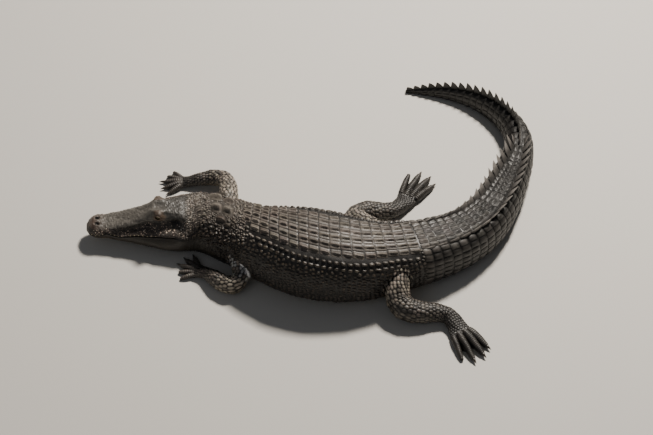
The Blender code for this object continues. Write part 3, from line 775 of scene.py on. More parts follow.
def closed(top_points, top_faces, rim, foot=-1.0):
    """Gives a shape skirts and a floor: the rim's points are repeated lower down, and joined round."""
    count, around = len(top_points), len(rim)
    low = top_points[np.array(rim)] * (1, 1, 0) + (0, 0, foot)
    sides = [(rim[i], count + i, count + (i + 1) % around, rim[(i + 1) % around]) for i in range(around)]
    return np.concatenate([top_points, low]), top_faces + sides + [tuple(count + np.arange(around)[::-1])]


def pebble(sides=8, squareness=2.6, crown=0.62, keel=0.0):
    """A low many-sided bead, with a ridge along it where keel is above 0."""
    turn = (np.arange(sides) + 0.5) / sides * 2 * math.pi
    radius = oval(turn, 0.5, 0.5, squareness)
    rim = np.stack([np.cos(turn) * radius, np.sin(turn) * radius, 0 * turn + 0.12], -1)
    upper = rim * (crown, crown, 0) + (0, 0, 0.78)
    upper[:, 2] -= keel * np.abs(upper[:, 1]) * 2
    points = np.concatenate([rim, upper, [[0.12 if keel else 0.0, 0, 1.0]]])
    return closed(points, tube_faces(2, sides) + tip_faces(sides, sides, 2 * sides), range(sides))


def plate(rows, columns, squareness=6.0, dome=0.25, keel=0.0, keel_width=0.2, rise=0.75, bevel=0.5):
    """A plate made as a grid that is drawn in to a rounded oblong, domed, and ridged along its middle.

    rise is how far back the ridge reaches its full height, and bevel how much lower the rim is.
    """
    u, v = np.meshgrid(np.linspace(-1, 1, rows + 1), np.linspace(-1, 1, columns + 1), indexing="ij")
    ring = np.maximum(np.abs(u), np.abs(v))
    norm = (np.abs(u) ** squareness + np.abs(v) ** squareness) ** (1 / squareness)
    shrink = np.where(norm > 0, ring / np.maximum(norm, 1e-9), 1)
    u, v = u * shrink, v * shrink
    base = (1 - keel) * (1 - dome * ring**2) * (1 - bevel * step(0.76, 1.0, ring))
    run = step(-1.0, rise * 2 - 1.5, u) ** 0.7 * (1 - 0.75 * step(rise * 2 - 1, 1.0, u) ** 2)
    ridge = keel * np.maximum(1 - (v / keel_width) ** 2, 0) ** 1.4 * run * (1 - step(0.85, 1.0, ring) * 0.6)
    points = np.stack([u / 2, v / 2, base + ridge], -1).reshape(-1, 3)
    return closed(points, *grid_faces(rows, columns))


class Coat:
    """Gathers scales for one joined piece, without those deeper under the finished skin than its reach."""

    def __init__(self, name, reach=0.006):
        self.name, self.reach = name, reach
        self.points, self.faces, self.patches, self.colours, self.count = [], [], [], [], 0

    def lay(self, surface, shape, along, across, length, width, height, turn=0.0, tilt=0.0, tone=0.16,
            tip=0.35, colour=None, wander=0.0, full=0.62):
        """Lays one scale at every given place, and follows the surface with each of its points.

        tone is how much the scales differ in brightness, tip how much lighter they are at the top as painted
        highlight, wander how far their points stray, and full the share of its height from which a scale has
        its full colour; below it the scale darkens to the colour between scales as painted shade.
        """
        given = (np.asarray(x, float) for x in (along, across, length, width, height, turn, tilt))
        table = np.stack([np.ravel(a) for a in np.broadcast_arrays(*given)])
        shift, keep = settle(surface, *surface.lie(*table[:2]), self.reach)
        count = int(keep.sum())
        if not count:
            return
        place = surface.lie(*table[:2, keep])
        top_colour, shaded_gap_colour = (markings(surface, *table[:2, keep], surface.point(*place)) if colour is None
                                  else (colour[keep], colour[keep] * 0.4))
        along, across, length, width, height, turn, tilt = table[:, keep, None]
        points, faces = shape
        u, v, w = points.T[:, None, :]
        du, dv, cos, sin = u * length, v * width, np.cos(turn), np.sin(turn)
        if wander:
            shake = rng.uniform(-wander, wander, (2, count, len(points))) * (w >= 0)
            du, dv = du + shake[0] * length, dv + shake[1] * width
        s, c = surface.lie(along + du * cos - dv * sin, across + du * sin + dv * cos)
        raised = np.where(w < 0, -FOOT_DEPTH, w * height + tilt * (u + 0.5) * length)
        lift = raised - depth_of_coat(surface, *place)[:, None]
        self.points.append(above_floor(surface.lay(s, c, lift) + shift[keep][:, None, :]).reshape(-1, 3))
        brightness = rng.uniform(1 - tone, 1 + tone, (count, 1))
        top_colour = top_colour * brightness * rng.uniform(0.97, 1.03, (count, 3))
        # painted shade: each scale darkens towards its foot to the colour between scales; painted highlight:
        # its top is lighter by tip
        level = np.clip(w, 0, 1)
        shade = blend(shaded_gap_colour[:, None, :], top_colour[:, None, :], step(full * 0.18, full, level))
        shade = shade * (1 + tip * step(max(full, 0.45), 1.0, level))[..., None]
        self.colours.append(shade.reshape(-1, 3))
        island = surface.island(place[0])[:, None] + np.zeros(s.shape, int)
        self.patches.append(surface.unwrap(s, c, island).reshape(-1, 2))
        numbers = self.count + np.arange(count)[:, None] * len(points)
        self.faces += [numbers + np.array(face)[None, :] for face in faces]
        self.count += count * len(points)

    def make(self, angle=38):
        """Joins what was laid into one object, closed and facing outwards."""
        piece = mesh_object(self.name, np.concatenate(self.points), self.faces, np.concatenate(self.colours),
                            np.concatenate(self.patches))
        finish(piece, state["hide"], angle)
        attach(piece, "root")
        return piece


def mesh_object(name, points, faces, colours, patches=None):
    """A mesh object from arrays: faces is a list of arrays, one row a face, and patches are unwrap places."""
    mesh = bpy.data.meshes.new(name)
    sizes = np.concatenate([np.full(len(f), f.shape[1]) for f in faces])
    corners = np.concatenate([f.reshape(-1) for f in faces]).astype(np.int32)
    mesh.vertices.add(len(points))
    mesh.vertices.foreach_set("co", packed(points))
    mesh.loops.add(len(corners))
    mesh.loops.foreach_set("vertex_index", corners)
    mesh.polygons.add(len(sizes))
    mesh.polygons.foreach_set("loop_start", np.concatenate([[0], np.cumsum(sizes)[:-1]]).astype(np.int32))
    mesh.update(calc_edges=True)
    mesh.validate()
    if patches is not None:
        mesh.uv_layers.new(name="OFBake").data.foreach_set("uv", packed(patches[corners]))
    piece = bpy.data.objects.new(name, mesh)
    bpy.context.scene.collection.objects.link(piece)
    paint(piece, colours)
    return piece


def packed(numbers):
    """An array as the plain row of single precision numbers that Blender takes."""
    return np.asarray(numbers, np.float32).ravel()


def move_points(piece, places):
    piece.data.vertices.foreach_set("co", packed(places))
    piece.data.update()


def paint(piece, colours):
    """Writes the hide's colour on every point."""
    attributes = piece.data.attributes
    layer = attributes.get("hide") or attributes.new("hide", "FLOAT_COLOR", "POINT")
    opaque = np.ones((len(colours), 1))
    layer.data.foreach_set("color", packed(np.concatenate([np.clip(colours, 0, 1), opaque], 1)))


def only(piece):
    """Makes this the one selected and active object."""
    bpy.ops.object.select_all(action="DESELECT")
    piece.select_set(True)
    bpy.context.view_layer.objects.active = piece


def edit(piece, *steps):
    """Runs steps in edit mode with everything selected."""
    only(piece)
    bpy.ops.object.mode_set(mode="EDIT")
    bpy.ops.mesh.select_all(action="SELECT")
    for run in steps:
        run()
    bpy.ops.object.mode_set(mode="OBJECT")


def face_outwards(piece):
    edit(piece, lambda: bpy.ops.mesh.normals_make_consistent(inside=False))


def smooth_by_angle(piece, angle):
    only(piece)
    bpy.ops.object.shade_smooth_by_angle(angle=math.radians(angle))


def finish(piece, material, angle):
    """Turns a piece's faces outwards, gives it its material, and smooths edges flatter than this angle."""
    face_outwards(piece)
    piece.data.materials.append(material)
    smooth_by_angle(piece, angle)


def points_of(piece):
    found = np.empty(len(piece.data.vertices) * 3, np.float32)
    piece.data.vertices.foreach_get("co", found)
    return found.reshape(-1, 3).astype(float)


def settle(surface, along, across, reach):
    """How far to move each scale on to the finished skin, as at a shoulder, and which scales to keep."""
    places = on_skin(surface, along, across)
    shift, keep = np.zeros_like(places), np.ones(len(places), bool)
    for i, place in enumerate(places):
        found, normal, face, distance = state["ground"].find_nearest(Vector(place))
        if distance > 0.0012:
            inside = (Vector(place) - found).dot(normal) < 0
            keep[i] = distance < (reach if inside else 0.008)
            shift[i] = np.array(found) - place
    return shift, keep


# ======== materials ========

def add_node(tree, kind, settings=None, **links):
    """Adds a shader node of this kind. Settings name its properties and inputs.

    Links name inputs, or number them as in in6, and give the sockets that they come from, where a node stands
    for its first output.
    """
    node = tree.nodes.new("ShaderNode" + kind)
    for name, value in (settings or {}).items():
        if isinstance(name, int) or name in node.inputs:
            node.inputs[name].default_value = value
        else:
            setattr(node, name, value)
    for name, source in links.items():
        socket = source.outputs[0] if isinstance(source, bpy.types.Node) else source
        tree.links.new(socket, node.inputs[int(name[2:]) if name[2:].isdigit() else name.replace("_", " ")])
    return node


def new_material(name):
    material = bpy.data.materials.new(name)
    material.use_nodes = True
    material.node_tree.nodes.clear()
    return material, material.node_tree


def keratin_hide():
    """Crocodile hide: horny keratin over leather, worn smooth and a little wet.

    It gives the eye matt plates with a broken sheen. The pits are 3 mm apart, the cracks 7 mm, and the
    grain is 2.4 mm and finer.
    """
    material, tree = new_material("keratin hide")
    place = add_node(tree, "TexCoord").outputs["Object"]
    tone = add_node(tree, "Attribute", {"attribute_name": "hide"}).outputs["Color"]
    dirt = add_node(tree, "TexNoise", {"Scale": 60.0, "Detail": 5.0, "Roughness": 0.65}, Vector=place)
    grain = add_node(tree, "TexNoise", {"Scale": 420.0, "Detail": 4.0, "Roughness": 0.6}, Vector=place)
    pits = add_node(tree, "TexVoronoi", {"Scale": 330.0, "Randomness": 1.0}, Vector=place)
    cracks = add_node(tree, "TexVoronoi", {"feature": "DISTANCE_TO_EDGE", "Scale": 150.0, "Randomness": 0.9},
                      Vector=place)
    lines = add_node(tree, "MapRange", {"From Min": 0.0, "From Max": 0.10, "To Min": 0.72, "To Max": 1.0},
                     Value=cracks)
    worn = add_node(tree, "MapRange", {"From Min": 0.30, "From Max": 0.72, "To Min": 0.66, "To Max": 1.30},
                    Value=dirt)
    both = add_node(tree, "Math", {"operation": "MULTIPLY"}, in0=worn, in1=lines)
    colour = add_node(tree, "Mix", {"data_type": "RGBA", "blend_type": "MULTIPLY", "Factor": 1.0}, in6=tone,
                      in7=both)
    rough = add_node(tree, "MapRange", {"From Min": 0.3, "From Max": 0.7, "To Min": 0.38, "To Max": 0.66},
                     Value=dirt)
    height = add_node(tree, "Math", {"operation": "MULTIPLY_ADD", 1: 0.6}, in0=grain, in2=pits)
    deep = add_node(tree, "Math", {"operation": "MULTIPLY_ADD", 1: 0.9}, in0=lines, in2=height)
    bump = add_node(tree, "Bump", {"Strength": 0.55, "Distance": 0.0010}, Height=deep)
    shader = add_node(tree, "BsdfPrincipled", {"IOR": 1.5, "Coat Weight": 0.12, "Coat Roughness": 0.25},
                      Base_Color=colour.outputs[2], Roughness=rough, Normal=bump)
    add_node(tree, "OutputMaterial", Surface=shader)
    return material


def eyeball_gloss():
    """The eyeball: a clear cornea over a gold-brown iris with an upright slit. It gives a sharp highlight."""
    material, tree = new_material("wet eyeball")
    iris = tints()["iris"]
    front = add_node(tree, "Attribute", {"attribute_name": "gaze"}).outputs["Vector"]
    axes = add_node(tree, "SeparateXYZ", Vector=front).outputs
    disc = add_node(tree, "CombineXYZ", X=axes[0], Y=axes[1])
    radius = add_node(tree, "VectorMath", {"operation": "LENGTH"}, in0=disc).outputs["Value"]
    streaks = add_node(tree, "TexNoise", {"Scale": 9.0, "Detail": 4.0}, Vector=front)
    gold = add_node(tree, "ValToRGB", Fac=streaks)
    for stop, place, colour in zip(gold.color_ramp.elements, (0.35, 0.65), (iris * 0.35, iris)):
        stop.position, stop.color = place, (*colour, 1)
    ring = add_node(tree, "MapRange", {"From Min": 0.50, "From Max": 0.66, "To Min": 0.0, "To Max": 1.0},
                    Value=radius)
    rimmed = add_node(tree, "Mix", {"data_type": "RGBA", 7: (0.010, 0.008, 0.006, 1)}, Factor=ring, in6=gold)
    bow = add_node(tree, "Math", {"operation": "MULTIPLY"}, in0=axes[1], in1=axes[1])
    width = add_node(tree, "MapRange", {"From Min": 0.0, "From Max": 0.16, "To Min": 0.085, "To Max": 0.0},
                     Value=bow)
    across = add_node(tree, "Math", {"operation": "ABSOLUTE"}, in0=axes[0])
    slit = add_node(tree, "Math", {"operation": "LESS_THAN"}, in0=across, in1=width)
    colour = add_node(tree, "Mix", {"data_type": "RGBA", 7: (0.003, 0.003, 0.003, 1)}, Factor=slit,
                      in6=rimmed.outputs[2])
    shader = add_node(tree, "BsdfPrincipled", {"Roughness": 0.16, "IOR": 1.38, "Coat Weight": 1.0,
                                               "Coat Roughness": 0.03}, Base_Color=colour.outputs[2])
    add_node(tree, "OutputMaterial", Surface=shader)
    return material


def horn(name, light, roughness):
    """Horn or tooth: polished, with streaks 4 mm apart. It gives the eye a soft streaked gloss."""
    material, tree = new_material(name)
    place = add_node(tree, "TexCoord").outputs["Object"]
    grain = add_node(tree, "TexNoise", {"Scale": 240.0, "Detail": 4.0, "Roughness": 0.6}, Vector=place)
    base = add_node(tree, "Attribute", {"attribute_name": "hide"})
    ramp = add_node(tree, "MapRange", {"From Min": 0.3, "From Max": 0.7, "To Min": 0.7, "To Max": light},
                    Value=grain)
    tone = add_node(tree, "Mix", {"data_type": "RGBA", "blend_type": "MULTIPLY", "Factor": 1.0}, in6=base,
                    in7=ramp)
    bump = add_node(tree, "Bump", {"Strength": 0.3, "Distance": 0.0004}, Height=grain)
    shader = add_node(tree, "BsdfPrincipled", {"Roughness": roughness, "IOR": 1.54},
                      Base_Color=tone.outputs[2], Normal=bump)
    add_node(tree, "OutputMaterial", Surface=shader)
    return material


# ======== the skin ========

FLESH = ["head", "lower_jaw", "neck", "chest", "belly", "hips"] + [f"tail_{n}" for n in range(1, 7)] + [
    f"{part}_{limb}" for limb in LIMBS
    for part in (("upper_arm", "forearm", "hand") if limb[0] == "f" else ("thigh", "shank", "foot"))]
COLUMNS_ABOVE, COLUMNS_BELOW = 36, 22
state = {}


def body_rows():
    """Places along the body for the rows of the skin, closest together at the nose."""
    spans = [(0.0, 0.03, 0.0016), (0.03, 0.47, 0.0038), (0.47, 0.60, 0.0065), (0.60, TAIL_START, 0.010),
             (TAIL_START, TOTAL_LENGTH, 0.0095)]
    return np.concatenate([np.arange(a, b - pitch / 2, pitch) for a, b, pitch in spans] + [[TOTAL_LENGTH]])


def mouth_across(along):
    """How far across the mouth line lies. Behind the mouth it eases to a fixed share of the girth."""
    along = np.atleast_1d(along)
    on_head = np.minimum(along, 0.41)
    share = across_at_height(on_head, mouth(on_head)) / half_girth(on_head)
    share = share + (COLUMNS_ABOVE / (COLUMNS_ABOVE + COLUMNS_BELOW) - share) * step(0.42, 0.60, along)
    return share * half_girth(along)


def body_columns(rows):
    """Places across the body for each row of the skin, gathered at the mouth."""
    lip, girth = mouth_across(rows)[:, None], half_girth(rows)[:, None]
    far, *near = 0.0070, 0.0034, 0.0012
    even, gathered = (np.linspace(0, 1, COLUMNS_ABOVE + n) for n in (1, -2))
    above_even, above = even * lip, np.concatenate([gathered * (lip - far), lip - near, lip], 1)
    even, gathered = (np.linspace(0, 1, COLUMNS_BELOW + n) for n in (1, -2))
    below_even = lip + even * (girth - lip)
    below = np.concatenate([lip, lip + near[::-1], lip + far + gathered * (girth - lip - far)], 1)
    k = (1 - step(0.41, 0.47, rows))[:, None]
    half = np.concatenate([above * k + above_even * (1 - k), (below * k + below_even * (1 - k))[:, 1:]], 1)
    return np.concatenate([-half[:, :0:-1], half], 1)


def sheet(name, rows, columns):
    """A flat grid of (along, across) places as a mesh, with extra rows beyond each end that will close it."""
    caps = np.array([1.0, 0.72, 0.40, 0.16]) * CAP_LENGTH
    rows = np.concatenate([rows[0] - caps, rows, rows[-1] + caps[::-1]])
    columns = np.concatenate([columns[:1].repeat(4, 0), columns, columns[-1:].repeat(4, 0)])
    bpy.ops.object.select_all(action="DESELECT")
    bpy.ops.mesh.primitive_grid_add(x_subdivisions=len(rows) - 1, y_subdivisions=columns.shape[1] - 1, size=2)
    piece = bpy.context.active_object
    piece.name = name
    places = points_of(piece)
    i, j = (np.rint((places[:, k] + 1) / 2 * (columns.shape[k] - 1)).astype(int) for k in (0, 1))
    move_points(piece, np.stack([rows[i], columns[i, j], 0 * i], -1))
    return piece


def roll(piece, surface, first, last, bulge, place=on_skin):
    """Turns a flat sheet into the surface's closed tube, with its unwrap and its colours."""
    sheet_places = points_of(piece)
    along, across = np.clip(sheet_places[:, 0], first, last), sheet_places[:, 1]
    beyond = np.clip(np.maximum(first - sheet_places[:, 0], sheet_places[:, 0] - last) / CAP_LENGTH, 0, 1)
    shaped = place(surface, along, across)
    around = np.linspace(-1, 1, 33)[:-1]
    for end, at in ((-1, first), (1, last)):
        ring = (beyond > 0) & (np.sign(sheet_places[:, 0] - at) == end) & (np.abs(along - at) < 1e-9)
        middle, inner = (on_skin(surface, np.full(32, at - back), around * surface.half(at)).mean(0)
                         for back in (0, end * 0.004))
        k = np.where(beyond[ring] > 0.999, 0, np.sqrt(np.maximum(1 - beyond[ring] ** 2, 0)))[:, None]
        shaped[ring] = (middle + (shaped[ring] - middle) * k
                        + unit(middle - inner) * (beyond[ring] * bulge)[:, None])
    above_floor(shaped, FLOOR_CLEARANCE + 0.0012)
    edge = np.abs(across) > 0.9999 * surface.half(along)
    one, other = np.flatnonzero(edge & (across < 0)), np.flatnonzero(edge & (across > 0))
    shaped[other[np.argsort(sheet_places[other, 0])]] = shaped[one[np.argsort(sheet_places[one, 0])]]
    mesh = piece.data
    corners, sizes = np.empty(len(mesh.loops), np.int32), np.empty(len(mesh.polygons), np.int32)
    mesh.loops.foreach_get("vertex_index", corners)
    mesh.polygons.foreach_get("loop_total", sizes)
    owner = np.repeat(np.arange(len(sizes)), sizes)
    island = surface.island(np.bincount(owner, along[corners]) / sizes)[owner]
    while mesh.uv_layers:
        mesh.uv_layers.remove(mesh.uv_layers[0])
    patch = surface.unwrap(along[corners], across[corners], island)
    mesh.uv_layers.new(name="OFBake").data.foreach_set("uv", packed(patch))
    move_points(piece, shaped)
    # the skin takes the colour between scales, which is painted shade
    paint(piece, markings(surface, along, across, surface.point(along, across))[1])
    edit(piece, lambda: bpy.ops.mesh.remove_doubles(threshold=0.000002),
         lambda: bpy.ops.mesh.normals_make_consistent(inside=False))
    return piece


def body_skin(surface, along, across):
    """The body's skin with the mouth pressed into it as a groove between two lips."""
    away = np.abs(across) - np.interp(along, body_rows(), mouth_across(body_rows()))
    groove = -0.0042 * hump(away, 0, 0.0016) + 0.0012 * hump(np.abs(away), 0.0042, 0.0030)
    opening = 1 - step(0.375, 0.405, along)
    return surface.lay(along, across, -depth_of_coat(surface, along, across) + groove * opening)


def refine(piece, near):
    """Halves the faces whose middle passes a test."""
    mesh = piece.data
    middles = np.empty(len(mesh.polygons) * 3, np.float32)
    mesh.polygons.foreach_get("center", middles)
    only(piece)
    bpy.ops.object.mode_set(mode="EDIT")
    bpy.ops.mesh.select_all(action="DESELECT")
    bpy.ops.mesh.select_mode(type="FACE")
    bpy.ops.object.mode_set(mode="OBJECT")
    mesh.polygons.foreach_set("select", near(middles.reshape(-1, 3)))
    bpy.ops.object.mode_set(mode="EDIT")
    bpy.ops.mesh.subdivide(number_cuts=1)
    bpy.ops.object.mode_set(mode="OBJECT")


def top_of_head(places):
    along, across = places[:, 0], places[:, 1]
    return (along > 0.008) & (along < 0.47) & (np.abs(across) < np.minimum(0.85 * half_girth(along), 0.19))


def near_face_details(places):
    """Round the eyes, the nostrils and the ears, where the skin needs small faces."""
    along, across = places[:, 0].astype(float), places[:, 1].astype(float)
    point = BODY.point(np.clip(along, 0, 1), across)
    found = np.zeros(len(along), bool)
    for place, out, height, reach in ((EYE_PLACE, EYE_OUT, EYE_HEIGHT, 0.030), (0.044, 0.013, 0.110, 0.020),
                                      (0.380, 0.072, 0.170, 0.022)):
        for side in (-1, 1):
            middle = beside_spine(np.array(place), np.array(out * side), height)
            found |= np.linalg.norm(point - middle, axis=1) < reach
    return found & (along > 0)


def web(first, second, share):
    """The skin between two digits: a thin sheet whose front edge curves back."""
    t, u = np.meshgrid(np.linspace(0, 1, 9), np.linspace(0, 1, 9), indexing="ij")
    reach = t * share * (1 - 0.30 * np.sin(np.pi * u))
    a, b = (digit.read(digit.line, reach * digit.length)[..., :3] for digit in (first, second))
    top_points = a * (1 - u[..., None]) + b * u[..., None]
    wrinkles = 0.0004 * np.sin(u * 9 + t * 14)
    top_points[..., 2] = 0.0060 + 0.0075 * (1 - t) - 0.0020 * np.sin(np.pi * u) + wrinkles
    top_points = top_points.reshape(-1, 3)
    count = len(top_points)
    points = np.concatenate([top_points, top_points * (1, 1, 0) + (0, 0, FLOOR_CLEARANCE + 0.0010)])
    faces, rim = grid_faces(8, 8)
    under = [tuple(count + np.array(face)[::-1]) for face in faces]
    sides = [(a, count + a, count + b, b) for a, b in zip(rim, rim[1:] + rim[:1])]
    patches = first.corner + np.concatenate([np.stack([t, u], -1).reshape(-1, 2)] * 2) * 0.02
    colours = np.broadcast_to(tints()["leg_spot"] * 0.9, points.shape)
    piece = mesh_object("web", points, [np.array([face]) for face in faces + under + sides], colours, patches)
    face_outwards(piece)
    return piece


def unite(piece, others):
    """Joins closed pieces into the first one, and says where the joins run."""
    before = np.concatenate([points_of(p) for p in [piece] + others])
    for other in others:
        only(piece)
        join = piece.modifiers.new("join", "BOOLEAN")
        join.operation, join.object, join.solver = "UNION", other, "MANIFOLD"
        bpy.ops.object.modifier_apply(modifier=join.name)
        bpy.data.objects.remove(other)
    after = points_of(piece)
    return after[distance_to(before, after) > 0.00005]


def distance_to(targets, places):
    tree = KDTree(len(targets))
    for i, target in enumerate(targets):
        tree.insert(target, i)
    tree.balance()
    return np.array([tree.find(place)[2] for place in places])


def relax(piece, seam, reach, rounds):
    """Smooths the skin near a seam, so that two forms run into each other."""
    places = points_of(piece)
    weight = 1 - step(reach * 0.35, reach, distance_to(seam, places))
    moving = weight > 0
    edges = np.empty(len(piece.data.edges) * 2, np.int32)
    piece.data.edges.foreach_get("vertices", edges)
    edges = edges.reshape(-1, 2)
    edges = edges[moving[edges].any(1)]
    neighbours = np.maximum(np.bincount(edges.ravel(), minlength=len(places)), 1)[:, None]
    for _ in range(rounds):
        total = np.zeros_like(places)
        for a, b in ((0, 1), (1, 0)):
            for k in range(3):
                total[:, k] += np.bincount(edges[:, a], places[edges[:, b], k], minlength=len(places))
        places[moving] += (total / neighbours - places)[moving] * (weight[moving] * 0.6)[:, None]
    move_points(piece, above_floor(places, FLOOR_CLEARANCE + 0.0008))


def tube(surface, pitch, columns, bulge):
    """A limb or a digit as a closed tube, with rows about this far apart."""
    rows = np.linspace(0.0, surface.length, int(surface.length / pitch))
    across = np.linspace(-0.5, 0.5, columns)[None, :] * surface.girth(rows)[:, None]
    return roll(sheet(surface.name, rows, across), surface, rows[0], rows[-1], bulge)


class CROC_OT_skin(bpy.types.Operator):
    """Makes one closed skin of body, legs and toes, and puts it in place of the flesh"""
    bl_idname = "croc.skin"
    bl_label = "Skin"

    def execute(self, context):
        rows = body_rows()
        piece = sheet("skin", rows, body_columns(rows))
        refine(piece, top_of_head)
        refine(piece, near_face_details)
        roll(piece, BODY, 0.0, TOTAL_LENGTH, 0.004, body_skin)
        state["hide"] = keratin_hide()
        legs = []
        for name, limb in LIMB_SURFACES.items():
            digits = DIGIT_SURFACES[name]
            leg = tube(limb, 0.007, 45, 0.006)
            toes = [tube(digit, 0.004, 21, 0.005) for digit in digits]
            toes += [web(a, b, 0.86 if name[0] == "h" else 0.40) for a, b in zip(digits, digits[1:])]
            relax(leg, unite(leg, toes), 0.007, 6)
            legs.append(leg)
        relax(piece, unite(piece, legs), 0.045, 30)
        piece.name = piece.data.name = "skin"
        piece.data.materials.clear()
        piece.data.materials.append(state["hide"])
        smooth_by_angle(piece, 60)
        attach(piece, "root")
        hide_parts(*FLESH)
        faces = [tuple(face.vertices) for face in piece.data.polygons]
        state["ground"] = BVHTree.FromPolygons([Vector(point) for point in points_of(piece)], faces)
        return {"FINISHED"}


# ======== the coat ========


def rows_between(first, last, distance):
    """Evenly spaced places about this far apart, and how far apart they are."""
    count = max(int(round((last - first) / distance)), 1)
    return first + (np.arange(count) + 0.5) * (last - first) / count, (last - first) / count


def scatter(first, last, distance, low, high, spacing, jitter=0.10, stagger=True):
    """Places in staggered rows, as along, across, length and width, and the same mirrored to the other side.

    low and high give the first and last place across at each row, as functions.
    """
    found = []
    rows, pitch = rows_between(first, last, distance)
    for k, row in enumerate(rows):
        a, b = float(low(row)), float(high(row))
        count = int((b - a) / spacing)
        if count < 1:
            continue
        across = a + (np.arange(count) + 0.5) * (b - a) / count
        if stagger:
            across = across + spacing * 0.25 * (1 if k % 2 else -1)
        found.append(np.stack(np.broadcast_arrays(row, across, pitch, (b - a) / count), -1))
    places = np.concatenate(found)
    places[:, 0] += rng.uniform(-jitter, jitter, len(places)) * places[:, 2]
    places[:, 1] += rng.uniform(-jitter, jitter, len(places)) * places[:, 3]
    return np.hstack([places.T, places.T * [[1], [-1], [1], [1]]])


PLATE_ROWS, SHIELD_START = 17, 0.705


def column_width(along):
    return bpy.context.scene.crocodile_sizes.plate_column * np.clip(half_width(along) / 0.188, 0.80, 1.0)


def shield_half(along):
    """How far the plates of the back reach to each side."""
    return column_width(along) * np.where((along > 0.735) & (along < 1.47), 3, 2)


class CROC_OT_back_plates(bpy.types.Operator):
    """Lays the keeled plates of the back in rows, with two rows of loose keels beside them"""
    bl_idname = "croc.back_plates"
    bl_label = "Back plates"

    def execute(self, context):
        sizes = context.scene.crocodile_sizes
        coat = Coat("back_plates")
        keeled = plate(14, 14, squareness=9, dome=0.10, keel=0.76, keel_width=0.40, rise=0.80, bevel=0.6)
        for k in range(PLATE_ROWS):
            row = SHIELD_START + k * sizes.plate_row
            column = float(column_width(row))
            columns = int(round(float(shield_half(row)) / column))
            flatter = 0.84 - 0.14 * float(step(0.80, 1.30, row))
            for n in range(columns):
                outer = n == columns - 1
                for side in (-1, 1):
                    coat.lay(BODY, keeled, row + rng.uniform(-0.0015, 0.0015), side * column * (n + 0.5),
                             sizes.plate_row * (0.93 if outer else 0.975), column * (0.90 if outer else 0.97),
                             sizes.keel * flatter * rng.uniform(0.85, 1.08),
                             turn=rng.uniform(-0.05, 0.05) + 0.04 * side * outer, wander=0.012, tone=0.14,
                             tip=0.15, full=0.20)
        loose = plate(8, 8, squareness=2.6, dome=0.5, keel=0.62, keel_width=0.75, rise=0.66, bevel=0.5)
        for first, last, away, height in ((0.70, 1.46, 0.022, 0.0080), (0.76, 1.40, 0.048, 0.0055)):
            rows, pitch = rows_between(first, last, 0.027)
            count = len(rows)
            for side in (-1, 1):
                coat.lay(BODY, loose, rows + rng.uniform(-0.002, 0.002, count),
                         side * (shield_half(rows) + away), 0.0235 * rng.uniform(0.75, 1.1, count),
                         0.0165 * rng.uniform(0.75, 1.1, count), height, turn=rng.uniform(-0.2, 0.2, count),
                         wander=0.03, tone=0.45, tip=0.1, full=0.45)
        coat.make(32)
        return {"FINISHED"}


# place along, place across, length, width and height of the nape's plates on one side, in millimetres
NUCHALS = np.array([(550, 33, 56, 60, 20.5), (607, 33, 57, 58, 20.5), (580, 83, 50, 36, 17),
                    (618, 100, 30, 26, 14), (478, 17, 26, 26, 11), (484, 46, 24, 24, 11),
                    (500, 74, 22, 20, 10)]) / MM


def clear_of_nape(places, share):
    """Leaves out the places that this share of a big plate of the nape would cover."""
    along, across = places[:2]
    free = np.ones(len(along), bool)
    for at, off, long, wide, height in NUCHALS:
        free &= ~((np.abs(along - at) < long * share) & (np.abs(np.abs(across) - off) < wide * share))
    return places[:, free]


class CROC_OT_neck_scales(bpy.types.Operator):
    """Lays the nape's big plates, the small scales round the neck, and the tiles of the throat"""
    bl_idname = "croc.neck_scales"
    bl_label = "Neck scales"

    def execute(self, context):
        coat = Coat("neck_scales")
        big = plate(14, 14, squareness=2.8, dome=0.45, keel=0.80, keel_width=0.58, rise=0.78, bevel=0.9)
        for along, across, length, width, height in NUCHALS:
            for side in (-1, 1):
                coat.lay(BODY, big, along, across * side, length, width, height * rng.uniform(0.93, 1.05),
                         turn=rng.uniform(-0.08, 0.08), wander=0.015, tip=0.25, full=0.14)
        places = scatter(0.432, 0.705, 0.0172, lambda s: 0,
                         lambda s: min(cheek_edge(s), 0.66) * half_girth(s), 0.0168, 0.50)
        along, across, length, width = clear_of_nape(places, 0.60)
        count = len(along)
        size = rng.uniform(0.66, 1.12, count)
        height = 0.0092 * size * (0.45 + 0.55 * step(0.44, 0.49, along))
        coat.lay(BODY, pebble(8, 2.3, crown=0.50, keel=0.55), along, across, length * size,
                 width * size * rng.uniform(0.80, 1.0, count), height, turn=rng.uniform(-0.35, 0.35, count),
                 wander=0.06, tone=0.35, tip=2.4)
        places = scatter(0.428, 0.705, 0.0098, lambda s: 0, lambda s: 0.62 * half_girth(s), 0.0094, 0.30)
        along, across, length, width = clear_of_nape(places, 0.48)
        count = len(along)
        size = rng.uniform(0.75, 1.05, count)
        coat.lay(BODY, pebble(6, 2.4, crown=0.55), along, across, length * size, width * size, 0.0030 * size,
                 turn=rng.uniform(-0.5, 0.5, count), wander=0.05, tone=0.30, tip=0.5)
        coat.make()
        coat = Coat("throat_scales")
        along, across, length, width = scatter(
            0.440, 0.640, 0.0108, lambda s: (cheek_edge(s) + 0.03) * half_girth(s), half_girth, 0.0100, 0.12)
        coat.lay(BODY, plate(2, 2, squareness=4, dome=0.35, bevel=0.5), along, across, length * 0.94,
                 width * 0.92, 0.0026, wander=0.05, tone=0.2, tip=0.25)
        coat.make()
        return {"FINISHED"}


def belly_edge(along):
    """Where the flank turns under, as a place across."""
    return float(across_at_height(along, 0.040)[0])


